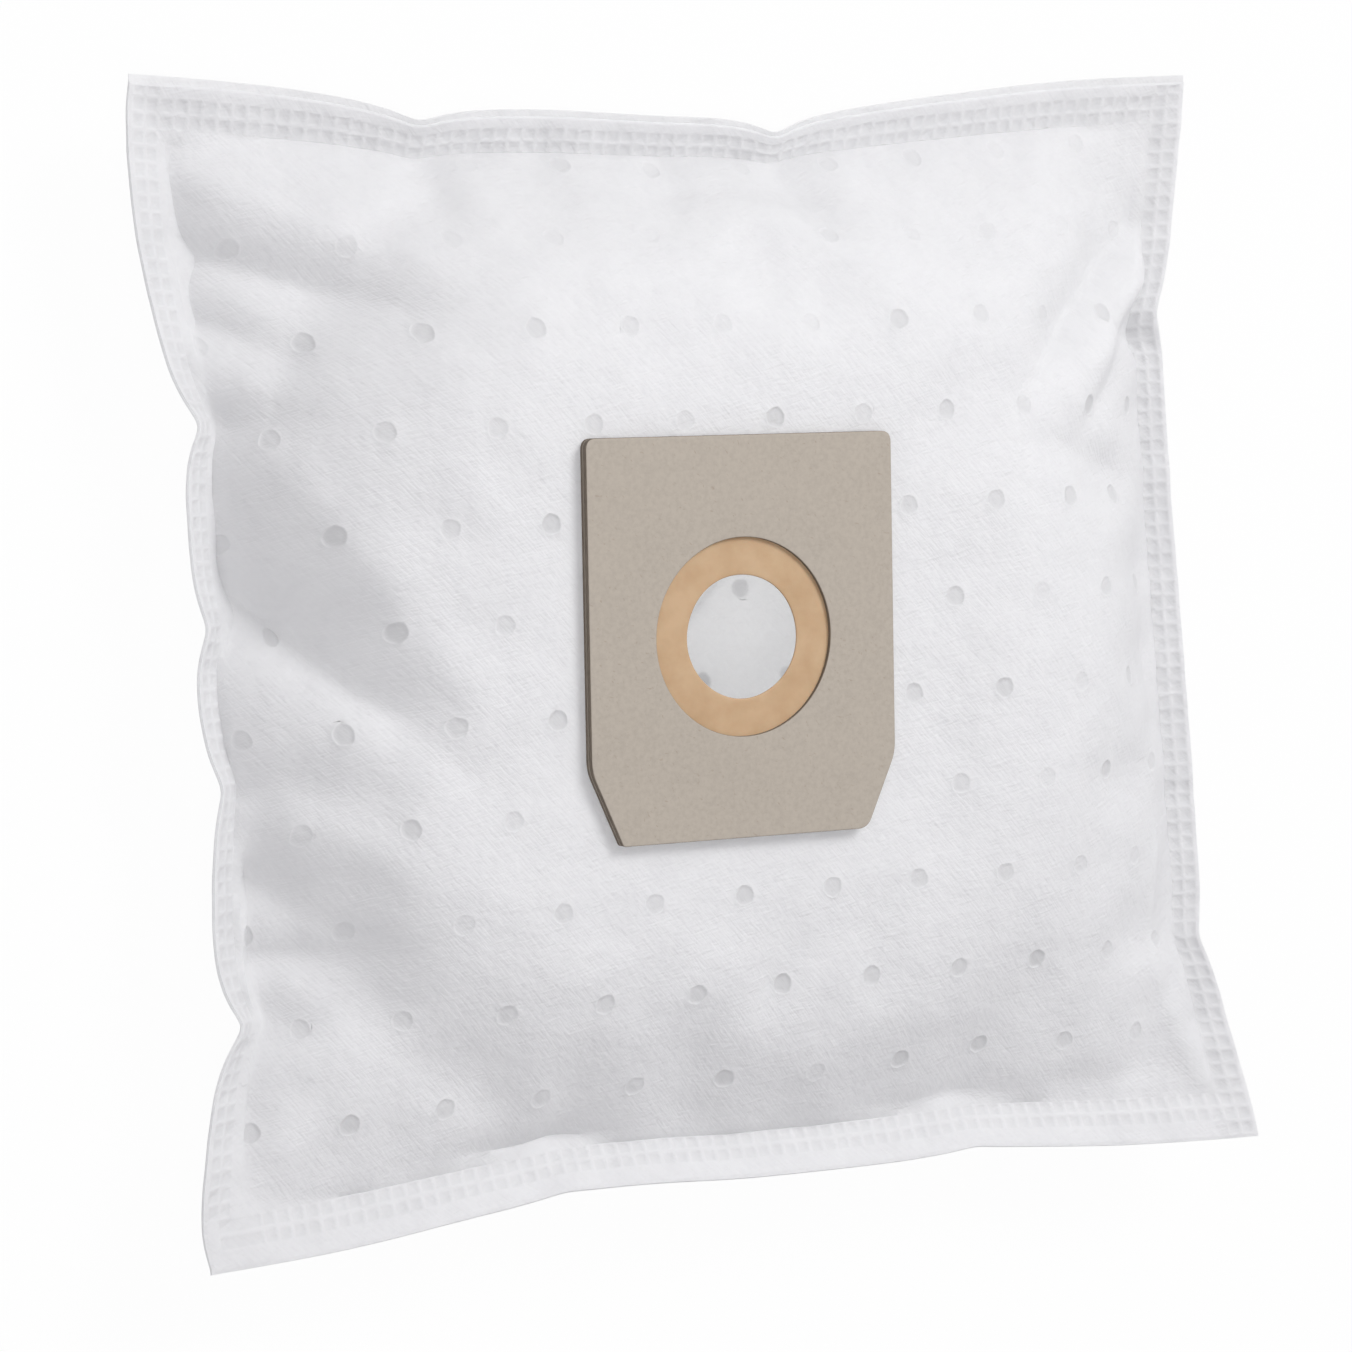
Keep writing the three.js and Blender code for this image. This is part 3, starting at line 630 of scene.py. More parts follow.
class PanelMesh:
    """One panel as a closed mesh: a fine grid in the weld band, a coarser one inside it,
    round patches for the spots and the inlet, an inner skin and the cut edge."""

    def __init__(self, form, side):
        self.form = form
        self.side = side
        self.sheet = form.sheet
        sheet = self.sheet
        set_back = sheet.front_set_back if side == "front" else 0
        rows = sheet.weld_rows
        self.across = SheetLines(form.half_width, sheet.side_margin, sheet.weld_pitch, rows)
        self.up = SheetLines(form.half_height, sheet.cut_margin, sheet.weld_pitch, rows + 1, set_back)
        self.p = []
        self.q = []
        self.outward = []
        self.spot = []
        self.pressed = []
        self.count = 0
        self.faces = []

    def add_points(self, p, q, outward, spot=0, pressed=0):
        """Adds points at flat places, each with its height off the middle surface."""
        p, q, outward, spot, pressed = np.broadcast_arrays(p, q, outward, spot, pressed)
        first = self.count
        stores = (self.p, self.q, self.outward, self.spot, self.pressed)
        for store, values in zip(stores, (p, q, outward, spot, pressed)):
            store.append(values.ravel())
        self.count += p.size
        return first + np.arange(p.size).reshape(p.shape)

    def add_faces(self, faces, flip=False):
        """Adds faces, turned over where flip says so."""
        faces = np.asarray(faces)
        self.faces.append(faces[:, ::-1] if flip else faces)

    def spot_centres(self):
        """The places of the spots: staggered rows that stay inside the weld line."""
        sheet = self.sheet
        form = self.form
        inset = sheet.spot_diameter / 2 + 0.5 * MM
        reach_p = form.half_width - form.side_band - inset
        reach_q = form.half_height - form.end_band - inset
        rows = np.arange(-12, 13)
        columns = np.arange(-12, 13)
        row, column = np.meshgrid(rows, columns, indexing="ij")
        q = sheet.spot_row_start + row * sheet.spot_row_spacing
        p = sheet.spot_column_start + (column + 0.5 * (row % 2)) * sheet.spot_spacing
        if self.side == "back":
            p = p + sheet.back_spot_shift[0]
            q = q + sheet.back_spot_shift[1]
        keep = (np.abs(p) < reach_p) & (np.abs(q) < reach_q)
        if self.side == "front":
            collar = form.collar
            under_p = np.abs(p - collar.across) < collar.width / 2 - 1 * MM
            under_q = np.abs(q - collar.up) < collar.height / 2 - 1 * MM
            keep &= ~(under_p & under_q)
        moved_in = sheet.weld_pitch / 2
        p = np.clip(p[keep], moved_in - reach_p, reach_p - moved_in)
        q = np.clip(q[keep], moved_in - reach_q, reach_q - moved_in)
        return np.stack([p, q], axis=1)

    def square_cells(self):
        """Which weld cells hold a square: two columns along each side that run out to the
        cut, two rows along each end inside a plain one, and none in the low left corner."""
        rows = self.sheet.weld_rows
        squares = np.zeros((self.across.cells, self.up.cells), bool)
        squares[:rows] = True
        squares[-rows:] = True
        squares[:, 1 : rows + 1] = True
        squares[:, -rows - 1 : -1] = True
        squares[: BAR_CELLS + 1, : rows + 1] = False
        return squares

    def corner_bars(self):
        """How far each place is pressed by the bars in the low left corner, where each
        row of the end's squares runs on as one long bar."""
        along = (self.across.cell >= 1) & (self.across.cell <= BAR_CELLS)
        rows = (self.up.cell >= 1) & (self.up.cell <= self.sheet.weld_rows)
        return np.outer(along, self.up.press * rows)

    def block_about(self, centre, cells):
        """The block of coarse cells nearest to a place, kept off the cells that fan out
        to the weld band. Returns its low and high index each way."""
        block = []
        for value, lines in zip(centre, (self.across, self.up)):
            coarse = lines.flat[lines.first : lines.last + 1 : COARSE]
            middle = np.interp(value, coarse, np.arange(len(coarse)))
            low = int(np.clip(round(middle - cells / 2), 1, len(coarse) - 2 - cells))
            block += [lines.first + low * COARSE, lines.first + (low + cells) * COARSE]
        return block

    def coarse_cells(self, blocks):
        """Low corners of the coarse field cells that no block covers."""
        across, up = self.across, self.up
        along_i = np.arange(across.first + COARSE, across.last - COARSE, COARSE)
        along_j = np.arange(up.first + COARSE, up.last - COARSE, COARSE)
        i, j = np.meshgrid(along_i, along_j, indexing="ij")
        open_cell = np.ones(i.shape, bool)
        for low_i, high_i, low_j, high_j in blocks:
            open_cell &= ~((i >= low_i) & (i < high_i) & (j >= low_j) & (j < high_j))
        return i[open_cell], j[open_cell]

    def grid_quads(self, index, i, j, step):
        """Quads of the grid from their low corners, step lines across."""
        low_side = [index[i, j], index[i + step, j]]
        high_side = [index[i + step, j + step], index[i, j + step]]
        return np.stack(low_side + high_side, axis=1)

    def patch(self, index, centre, block, radii, outward, spot, flip, uneven=0.0):
        """Rings of points about a centre inside a block of the grid, each point in line
        with a point of the block's border. The rings are uneven by two cosines of the
        angle. Returns the last ring's indices."""
        pairs = block_loop(*block, COARSE)
        ring = index[pairs[:, 0], pairs[:, 1]]
        to_p = self.across.flat[pairs[:, 0]] - centre[0]
        to_q = self.up.flat[pairs[:, 1]] - centre[1]
        angle = np.arctan2(to_q, to_p)
        turn = centre[0] / MM
        wobble = 1 + uneven * (np.cos(3 * angle + turn) + np.cos(5 * angle + 2 * turn))
        for radius, height, mask in zip(radii, outward, spot):
            p = centre[0] + radius * wobble * np.cos(angle)
            q = centre[1] + radius * wobble * np.sin(angle)
            points = self.add_points(p, q, height, mask)
            self.add_faces(band_of(ring, points), flip)
            ring = points
        return ring

    def build_skin(self, outside):
        """One skin of the panel. The outer one is embossed and fine in the band, and the
        inner one is plain and coarse there. Returns its cut loop and its inlet loop."""
        sheet = self.sheet
        flip = (self.side == "front") != outside
        across, up = self.across, self.up
        line_i = np.arange(len(across.flat))
        line_j = np.arange(len(up.flat))
        band_i = (line_i <= across.first) | (line_i >= across.last)
        band_j = (line_j <= up.first) | (line_j >= up.last)
        in_band = band_i[:, None] | band_j[None, :]
        field = self.form.skin_offset if outside else sheet.gap / 2
        if outside:
            squares = self.square_cells()[across.cell][:, up.cell]
            pressed = np.outer(across.press, up.press) * squares
            pressed = np.maximum(pressed, self.corner_bars())
            inwards = np.clip(np.minimum.outer(across.from_cut, up.from_cut), 0, 1)
            thickness = sheet.cut_thickness + (sheet.welded_thickness - sheet.cut_thickness) * inwards
            embossed = sheet.welded_gap / 2 + thickness - sheet.square_depth * pressed
            height = np.where(in_band, embossed, field)
        else:
            pressed = 0
            height = np.where(in_band, sheet.welded_gap / 2, field)
        index = self.add_points(across.flat[:, None], up.flat[None, :], height, 0, pressed)
        step = 1 if outside else COARSE
        i, j = np.meshgrid(line_i[:-1:step], line_j[:-1:step], indexing="ij")
        band = (i < across.first) | (j < up.first) | (i >= across.last) | (j >= up.last)
        self.add_faces(self.grid_quads(index, i[band], j[band], step), flip)
        outer_block = (across.first, across.last, up.first, up.last)
        inner_block = tuple(np.add(outer_block, (COARSE, -COARSE, COARSE, -COARSE)))
        self.join_band(index, outer_block, inner_block, step, flip)

        blocks = []
        depth = sheet.spot_depth if outside else -sheet.inner_spot_depth
        rim = sheet.spot_rim if outside else 0
        radii = sheet.spot_diameter / 2 * np.array(SPOT_RADII)
        heights = rim * np.array(SPOT_RIM) - depth * np.array(SPOT_SUNK)
        bond = np.array(SPOT_BOND)
        centres = self.spot_centres()
        strengths = np.random.default_rng(SEED).uniform(*SPOT_STRENGTH, len(centres))
        faded = smooth_step(SPOT_FADE["from"] * MM, SPOT_FADE["to"] * MM, centres[:, 1])
        strengths *= 1 - SPOT_FADE["loss"] * faded
        for centre, strength in zip(centres, strengths):
            block = self.block_about(centre, SPOT_CELLS)
            blocks.append(block)
            raised = field + strength * heights
            ring = self.patch(
                index, centre, block, radii, raised, strength * bond, flip, SPOT_UNEVEN
            )
            middle = self.add_points(centre[:1], centre[1:], field - strength * depth, strength)[0]
            hub = np.full(len(ring), middle)
            self.add_faces(np.stack([ring, np.roll(ring, -1), hub], axis=1), flip)
        inlet = None
        if self.side == "front":
            collar = self.form.collar
            centre = np.array([collar.across, collar.up])
            cells = int(collar.inlet / sheet.weld_pitch * 2) + SPOT_CELLS
            block = self.block_about(centre, cells)
            blocks.append(block)
            radii = [collar.inlet / 2 + 1 * MM, collar.inlet / 2]
            inlet = self.patch(index, centre, block, radii, [field] * 2, [0, 0], flip)
        i, j = self.coarse_cells(blocks)
        self.add_faces(self.grid_quads(index, i, j, COARSE), flip)
        pairs = block_loop(0, len(across.flat) - 1, 0, len(up.flat) - 1, step)
        return index[pairs[:, 0], pairs[:, 1]], inlet

    def join_band(self, index, outer_block, inner_block, step, flip):
        """The ring of coarse cells next to the weld band. On each side the fine points of
        the weld line fan out to the coarse ones, and the four corner cells fan from their
        inner corner."""
        low_i, high_i, low_j, high_j = outer_block
        in_low_i, in_high_i, in_low_j, in_high_j = inner_block
        ratio = COARSE // step
        ends = (
            ((in_low_i, low_j), (1, 0), (in_low_i, in_low_j), in_high_i - in_low_i),
            ((high_i, in_low_j), (0, 1), (in_high_i, in_low_j), in_high_j - in_low_j),
            ((in_high_i, high_j), (-1, 0), (in_high_i, in_high_j), in_high_i - in_low_i),
            ((low_i, in_high_j), (0, -1), (in_low_i, in_high_j), in_high_j - in_low_j),
        )
        for (oi, oj), (di, dj), (ni, nj), span in ends:
            fine = np.arange(0, span + 1, step)
            coarse = np.arange(0, span + 1, COARSE)
            outer = index[oi + di * fine, oj + dj * fine]
            inner = index[ni + di * coarse, nj + dj * coarse]
            if ratio == 1:
                quads = np.stack([outer[:-1], outer[1:], inner[1:], inner[:-1]], axis=1)
                self.add_faces(quads, flip)
                continue
            cell = np.repeat(np.arange(len(inner) - 1), ratio)
            late = np.tile(np.arange(ratio), len(inner) - 1) >= (ratio + 1) // 2
            self.add_faces(np.stack([outer[:-1], outer[1:], inner[cell + late]], axis=1), flip)
            middle = outer[np.arange(len(inner) - 1) * ratio + (ratio + 1) // 2]
            self.add_faces(np.stack([middle, inner[1:], inner[:-1]], axis=1), flip)
        corners = (
            ((low_i, in_low_j), (low_i, low_j), (in_low_i, low_j), (in_low_i, in_low_j)),
            ((in_high_i, low_j), (high_i, low_j), (high_i, in_low_j), (in_high_i, in_low_j)),
            ((high_i, in_high_j), (high_i, high_j), (in_high_i, high_j), (in_high_i, in_high_j)),
            ((in_low_i, high_j), (low_i, high_j), (low_i, in_high_j), (in_low_i, in_high_j)),
        )
        for start, corner, end, inner in corners:
            runs = [np.linspace(start, corner, ratio + 1), np.linspace(corner, end, ratio + 1)[1:]]
            path = np.rint(np.concatenate(runs)).astype(int)
            rim = index[path[:, 0], path[:, 1]]
            hub = np.full(len(rim) - 1, index[inner])
            self.add_faces(np.stack([rim[:-1], rim[1:], hub], axis=1), flip)

    def finish(self, name, material):
        """Joins the skins, drops unused points and makes the object."""
        outer_cut, outer_inlet = self.build_skin(True)
        inner_cut, inner_inlet = self.build_skin(False)
        flip = self.side == "front"
        self.add_faces(fan_of(outer_cut, inner_cut, COARSE), not flip)
        if outer_inlet is not None:
            self.add_faces(band_of(inner_inlet, outer_inlet), not flip)
        stores = (self.p, self.q, self.outward, self.spot, self.pressed)
        p, q, outward, spot, pressed = (np.concatenate(values) for values in stores)
        used = np.unique(np.concatenate([faces.ravel() for faces in self.faces]))
        renumber = np.full(self.count, -1)
        renumber[used] = np.arange(len(used))
        points = self.form.skin(self.side, p[used], q[used], outward[used])
        faces = [renumber[group] for group in self.faces]
        obj = mesh_object(name, points, faces, material)
        add_attribute(obj, "spot", spot[used])
        add_attribute(obj, "pressed", pressed[used])
        add_flat_map(obj, p[used], q[used])
        return obj


def mesh_object(name, points, face_groups, material):
    """A smooth mesh object from an array of points and arrays of faces."""
    faces = [face for group in face_groups for face in group.tolist()]
    mesh = bpy.data.meshes.new(name)
    mesh.from_pydata(points.tolist(), [], faces)
    mesh.polygons.foreach_set("use_smooth", np.ones(len(mesh.polygons), bool))
    mesh.set_sharp_from_angle(angle=math.radians(60))
    mesh.materials.append(material)
    mesh.update()
    obj = bpy.data.objects.new(name, mesh)
    bpy.context.scene.collection.objects.link(obj)
    return obj


def add_attribute(obj, name, values):
    """Keeps a number for each point, which the materials read by its name."""
    attribute = obj.data.attributes.new(name, "FLOAT", "POINT")
    attribute.data.foreach_set("value", np.asarray(values, np.float32))


def add_flat_map(obj, p, q):
    """A UV map of the flat cut, one unit to the metre, so fibres run with the sheet."""
    corners = np.zeros(len(obj.data.loops), np.int32)
    obj.data.loops.foreach_get("vertex_index", corners)
    layer = obj.data.uv_layers.new(name="flat_cut")
    flat = np.stack([p[corners], q[corners]], axis=1)
    layer.data.foreach_set("uv", flat.astype(np.float32).ravel())


def softened(grid):
    """The grid with each point the weighted mean of itself and its neighbours, in the
    proportions 1 to 2 to 1 each way. The border keeps its values."""
    result = grid.copy()
    result[1:-1] = (grid[:-2] + 2 * grid[1:-1] + grid[2:]) / 4
    across = result.copy()
    result[:, 1:-1] = (across[:, :-2] + 2 * across[:, 1:-1] + across[:, 2:]) / 4
    return result


def simulate_panel(form, side):
    """Lets the sheet settle between its weld and what holds it, and keeps how far each
    place moved. The sheet starts on the form without its folds, its threads are longer
    than the form by the slack, and the pressure pushes it outwards."""
    spacing = form.fill.cloth_cell
    reach_p = form.half_width - form.side_band
    reach_q = form.half_height - form.end_band
    lines_p = np.linspace(-reach_p, reach_p, round(2 * reach_p / spacing) + 1)
    lines_q = np.linspace(-reach_q, reach_q, round(2 * reach_q / spacing) + 1)
    p, q = np.meshgrid(lines_p, lines_q, indexing="ij")
    start = form.middle(side, p, q, folded=False)
    index = np.arange(p.size).reshape(p.shape)
    corners = [index[:-1, :-1], index[1:, :-1], index[1:, 1:], index[:-1, 1:]]
    if side == "back":
        corners = corners[::-1]
    quads = np.stack(corners, axis=-1).reshape(-1, 4)
    cloth = mesh_object("settling_sheet", start.reshape(-1, 3), [quads], None)
    held = np.zeros(p.shape, bool)
    held[[0, -1], :] = True
    held[:, [0, -1]] = True
    if side == "front":
        out_x = np.abs(start[..., 0] - form.collar.across) - form.collar.width / 2
        out_y = np.abs(start[..., 1] - form.collar.up) - form.collar.height / 2
        from_collar = np.hypot(np.maximum(out_x, 0), np.maximum(out_y, 0))
        held |= from_collar < HELD_BY_COLLAR * MM
    else:
        held |= start[..., 2] <= form.skin_offset + HELD_BY_TABLE * MM
    group = cloth.vertex_groups.new(name="held")
    group.add(index[held].tolist(), 1.0, "ADD")
    modifier = cloth.modifiers.new("settle", "CLOTH")
    settings = modifier.settings
    settings.quality = CLOTH_QUALITY
    settings.mass = form.fill.point_mass
    settings.tension_stiffness = form.fill.stretch
    settings.compression_stiffness = form.fill.stretch
    settings.shear_stiffness = form.fill.stretch / 3
    settings.bending_stiffness = form.fill.bending
    settings.air_damping = form.fill.air_damping
    settings.use_pressure = True
    settings.uniform_pressure_force = form.fill.pressure
    settings.vertex_group_mass = "held"
    settings.shrink_min = -form.fill.slack
    settings.effector_weights.gravity = 0
    modifier.point_cache.frame_start = 1
    modifier.point_cache.frame_end = CLOTH_FRAMES
    scene = bpy.context.scene
    for number in range(1, CLOTH_FRAMES + 1):
        scene.frame_set(number)
    moved = np.zeros(p.size * 3, np.float32)
    settled = cloth.evaluated_get(bpy.context.evaluated_depsgraph_get())
    settled.data.vertices.foreach_get("co", moved)
    moved = moved.reshape(start.shape) - start
    for _ in range(form.fill.smoothing):
        moved = softened(moved)
    if side == "front":
        faded = smooth_step(HELD_BY_COLLAR * MM, form.fill.collar_fade, from_collar)
        moved *= faded[..., None]
    scene.frame_set(1)
    mesh = cloth.data
    bpy.data.objects.remove(cloth)
    bpy.data.meshes.remove(mesh)
    size = np.linalg.norm(moved, axis=-1, keepdims=True)
    limit = form.fill.most_moved
    moved *= limit * np.tanh(size / limit) / np.maximum(size, 1e-9)
    form.relief[side] = (lines_p, lines_q, moved)


def new_material(name):
    """A new material, its node tree and its Principled shader."""
    material = bpy.data.materials.new(name)
    material.use_nodes = True
    return material, material.node_tree, material.node_tree.nodes["Principled BSDF"]


def add_node(tree, kind, **values):
    """A node of a kind, with its own settings as keywords."""
    node = tree.nodes.new(kind)
    for key, value in values.items():
        setattr(node, key, value)
    return node


def mix_colour(tree, factor, first, second):
    """Mixes two colours or sockets by a factor or a socket, and returns the result."""
    node = add_node(tree, "ShaderNodeMix", data_type="RGBA")
    sockets = (node.inputs["Factor"], node.inputs[6], node.inputs[7])
    for socket, value in zip(sockets, (factor, first, second)):
        if isinstance(value, bpy.types.NodeSocket):
            tree.links.new(value, socket)
        elif isinstance(value, (int, float)):
            socket.default_value = value
        else:
            socket.default_value = (*value, 1)
    return node.outputs[2]


def noise(tree, vector, scale, detail=4, roughness=0.55):
    """A noise of scale cells to the metre, from 0 to 1."""
    node = add_node(tree, "ShaderNodeTexNoise")
    node.inputs["Scale"].default_value = scale
    node.inputs["Detail"].default_value = detail
    node.inputs["Roughness"].default_value = roughness
    tree.links.new(vector, node.inputs["Vector"])
    return node.outputs["Fac"]


def stretched(tree, vector, scale, turn=0.0):
    """A vector scaled along axes that are turned about Z, so a noise runs in streaks."""
    node = add_node(tree, "ShaderNodeMapping", vector_type="TEXTURE")
    node.inputs["Rotation"].default_value = (0, 0, turn)
    node.inputs["Scale"].default_value = [1 / value for value in scale]
    tree.links.new(vector, node.inputs["Vector"])
    return node.outputs["Vector"]


def ranged(tree, value, low, high, to_low=0.0, to_high=1.0):
    """A value carried from the range of low to high to another, and kept inside it."""
    node = add_node(tree, "ShaderNodeMapRange")
    tree.links.new(value, node.inputs["Value"])
    names = ("From Min", "From Max", "To Min", "To Max")
    for name, number in zip(names, (low, high, to_low, to_high)):
        node.inputs[name].default_value = number
    return node.outputs["Result"]


def calculate(tree, operation, first, second):
    """A sum, product or the like of two numbers or sockets."""
    node = add_node(tree, "ShaderNodeMath", operation=operation)
    for socket, value in ((node.inputs[0], first), (node.inputs[1], second)):
        if isinstance(value, bpy.types.NodeSocket):
            tree.links.new(value, socket)
        else:
            socket.default_value = value
    return node.outputs[0]


def bumped(tree, height, distance, strength, normal=None):
    """A normal tipped by a height, on top of another normal where one is given."""
    node = add_node(tree, "ShaderNodeBump")
    node.inputs["Distance"].default_value = distance
    node.inputs["Strength"].default_value = strength
    tree.links.new(height, node.inputs["Height"])
    if normal is not None:
        tree.links.new(normal, node.inputs["Normal"])
    return node.outputs["Normal"]


def nonwoven_material(colours):
    """White spunbonded nonwoven: matte fibres in faint streaks and clouds, greyer where
    a spot or a weld square presses the plies clear."""
    material, tree, shader = new_material("nonwoven")
    flat = add_node(tree, "ShaderNodeUVMap", uv_map="flat_cut").outputs["UV"]
    clouds = noise(tree, flat, 90, 2)
    streaks = noise(tree, stretched(tree, flat, (1, 0.14, 1), 0.73), 1100, 2, 0.6)
    cross_streaks = noise(tree, stretched(tree, flat, (0.2, 1, 1), 0.25), 1300, 1, 0.6)
    formation = noise(tree, flat, 420, 2, 0.6)
    cloudy = ranged(tree, clouds, 0.35, 0.75, 0, 0.25)
    thin = calculate(tree, "ADD", cloudy, ranged(tree, formation, 0.45, 0.8, 0, 0.3))
    white = mix_colour(tree, thin, colours.nonwoven, colours.nonwoven_shade)
    spot = add_node(tree, "ShaderNodeAttribute", attribute_name="spot").outputs["Fac"]
    pressed = add_node(tree, "ShaderNodeAttribute", attribute_name="pressed").outputs["Fac"]
    squares = ranged(tree, pressed, 0.2, 1, 0, 0.28)
    mask = calculate(tree, "MAXIMUM", ranged(tree, spot, 0.15, 1), squares)
    cloth = mix_colour(tree, mask, white, colours.pressed)
    tree.links.new(cloth, shader.inputs["Base Color"])
    fibres = calculate(tree, "ADD", streaks, cross_streaks)
    fibres = calculate(tree, "MULTIPLY", fibres, ranged(tree, mask, 0, 1, 1, 0.4))
    wrinkles = noise(tree, stretched(tree, flat, (1, 0.4, 1), 0.9), 60, 1)
    crinkle = calculate(tree, "ADD", noise(tree, flat, 150, 2, 0.5), wrinkles)
    normal = bumped(tree, noise(tree, flat, 38, 1), 2 * MM, 0.8)
    normal = bumped(tree, crinkle, 0.8 * MM, 1, normal)
    normal = bumped(tree, formation, 0.25 * MM, 0.35, normal)
    tree.links.new(bumped(tree, fibres, 0.35 * MM, 0.9, normal), shader.inputs["Normal"])
    shader.inputs["Roughness"].default_value = 0.85
    shader.inputs["Sheen Weight"].default_value = 0.15
    shader.inputs["Sheen Roughness"].default_value = 0.6
    glow = add_node(tree, "ShaderNodeBsdfTranslucent")
    tree.links.new(cloth, glow.inputs["Color"])
    mix = add_node(tree, "ShaderNodeMixShader")
    mix.inputs[0].default_value = 0.55
    tree.links.new(shader.outputs[0], mix.inputs[1])
    tree.links.new(glow.outputs[0], mix.inputs[2])
    tree.links.new(mix.outputs[0], tree.nodes["Material Output"].inputs["Surface"])
    return material


def greyboard_material(colours):
    """Unbleached greyboard: mottled pulp with darker flecks and hairs, and a cut edge that shows the
    board's layers and is painted far darker all round, partly the board's own edge and partly painted
    shade."""
    material, tree, shader = new_material("greyboard")
    place = add_node(tree, "ShaderNodeTexCoord").outputs["Object"]
    pulp = noise(tree, place, 700, 6, 0.7)
    clouds = noise(tree, place, 60, 3)
    hairs = noise(tree, stretched(tree, place, (1, 0.35, 1), 0.6), 1500, 3, 0.5)
    flecks = noise(tree, stretched(tree, place, (0.4, 1, 1), -0.3), 1000, 2, 0.5)
    cloudy = ranged(tree, clouds, 0.4, 0.7, 0, 0.1)
    tone = calculate(tree, "ADD", ranged(tree, pulp, 0.4, 0.65, 0, 0.5), cloudy)
    shade = [0.8 * value for value in colours.greyboard]
    board = mix_colour(tree, tone, colours.greyboard, shade)
    fleck_mask = ranged(tree, flecks, 0.68, 0.8)
    dark = calculate(tree, "MAXIMUM", ranged(tree, hairs, 0.66, 0.78), fleck_mask)
    dark = calculate(tree, "MULTIPLY", dark, 0.4)
    board = mix_colour(tree, dark, board, colours.greyboard_fleck)
    # The cut edge is painted far darker than the face: partly its own colour, partly painted shade
    layers = noise(tree, stretched(tree, place, (0.12, 0.12, 1)), 2600, 4, 0.7)
    pale_layer = [1.7 * value for value in colours.cut_edge_and_shade]
    edge = mix_colour(tree, ranged(tree, layers, 0.35, 0.7), colours.cut_edge_and_shade, pale_layer)
    cut = add_node(tree, "ShaderNodeAttribute", attribute_name="cut").outputs["Fac"]
    tree.links.new(mix_colour(tree, cut, board, edge), shader.inputs["Base Color"])
    tree.links.new(bumped(tree, pulp, 0.1 * MM, 0.4), shader.inputs["Normal"])
    shader.inputs["Roughness"].default_value = 0.85
    return material


def latex_material(colours):
    """Tan latex sheet: faint clouds, a fine grain and a dull gloss."""
    material, tree, shader = new_material("latex")
    place = add_node(tree, "ShaderNodeTexCoord").outputs["Object"]
    clouds = noise(tree, place, 120, 4)
    grain = noise(tree, place, 2200, 3)
    cloudy = ranged(tree, clouds, 0.35, 0.75)
    tan = mix_colour(tree, cloudy, colours.latex, colours.latex_shade)
    tree.links.new(tan, shader.inputs["Base Color"])
    tree.links.new(bumped(tree, grain, 0.04 * MM, 0.4), shader.inputs["Normal"])
    shader.inputs["Roughness"].default_value = 0.55
    shader.inputs["Subsurface Weight"].default_value = 0.1
    shader.inputs["Subsurface Scale"].default_value = 0.8 * MM
    return material


def floor_material(colours):
    """A white floor: the camera sees it lit evenly, and still darker in the shadow."""
    material, tree, shader = new_material("floor")
    shader.inputs["Base Color"].default_value = (*colours.floor, 1)
    shader.inputs["Roughness"].default_value = 0.9
    glow = add_node(tree, "ShaderNodeEmission")
    glow.inputs["Strength"].default_value = 1
    glow.inputs["Color"].default_value = (1, 1, 1, 1)
    rays = add_node(tree, "ShaderNodeLightPath").outputs
    seen = calculate(tree, "MAXIMUM", rays["Is Camera Ray"], rays["Is Glossy Ray"])
    seen = calculate(tree, "MAXIMUM", seen, rays["Is Transmission Ray"])
    mix = add_node(tree, "ShaderNodeMixShader")
    tree.links.new(calculate(tree, "MULTIPLY", seen, 0.97), mix.inputs[0])
    tree.links.new(shader.outputs[0], mix.inputs[1])
    tree.links.new(glow.outputs[0], mix.inputs[2])
    tree.links.new(mix.outputs[0], tree.nodes["Material Output"].inputs["Surface"])
    return material


def card_outline(collar):
    """The outline of a card, anticlockwise, about 2 mm apart: a rectangle with its two
    lower corners cut off, each corner rounded by a curve from edge to edge."""
    across = collar.width / 2
    up = collar.height / 2
    radius = collar.corner_radius
    corners = (
        ((across, up), radius),
        ((-across, up), radius),
        ((-across, collar.chamfer_up - up), radius),
        ((collar.chamfer_across - across, -up), radius / 4),
        ((across - collar.chamfer_across, -up), radius),
        ((across, collar.chamfer_up - up), radius),
    )
    bends = []
    for k, (corner, bend_radius) in enumerate(corners):
        corner = np.array(corner)
        before = np.array(corners[k - 1][0]) - corner
        after = np.array(corners[(k + 1) % len(corners)][0]) - corner
        start = corner + before / np.linalg.norm(before) * bend_radius
        end = corner + after / np.linalg.norm(after) * bend_radius
        t = np.linspace(0, 1, 7)[:, None]
        bends.append((1 - t) ** 2 * start + 2 * t * (1 - t) * corner + t**2 * end)
    points = []
    for k, bend in enumerate(bends):
        next_bend = bends[(k + 1) % len(bends)]
        side = next_bend[0] - bend[-1]
        steps = max(2, round(float(np.linalg.norm(side)) / (2 * MM)))
        straight = bend[-1] + side * (np.arange(1, steps) / steps)[:, None]
        points += [bend, straight]
    return np.concatenate(points)


def closed_band(name, loops, attributes, material, placed):
    """A closed mesh from loops of as many points, the last joined to the first. placed is
    the frame that the loops are in."""
    loops = np.array(loops)
    count, around = loops.shape[:2]
    index = np.arange(count * around).reshape(count, around)
    groups = [band_of(index[k], index[(k + 1) % count]) for k in range(count)]
    turn = np.array(placed.to_3x3())
    points = loops.reshape(-1, 3) @ turn.T + np.array(placed.translation)
    obj = mesh_object(name, points, groups, material)
    for key, values in attributes.items():
        add_attribute(obj, key, np.repeat(values, around))
    return obj


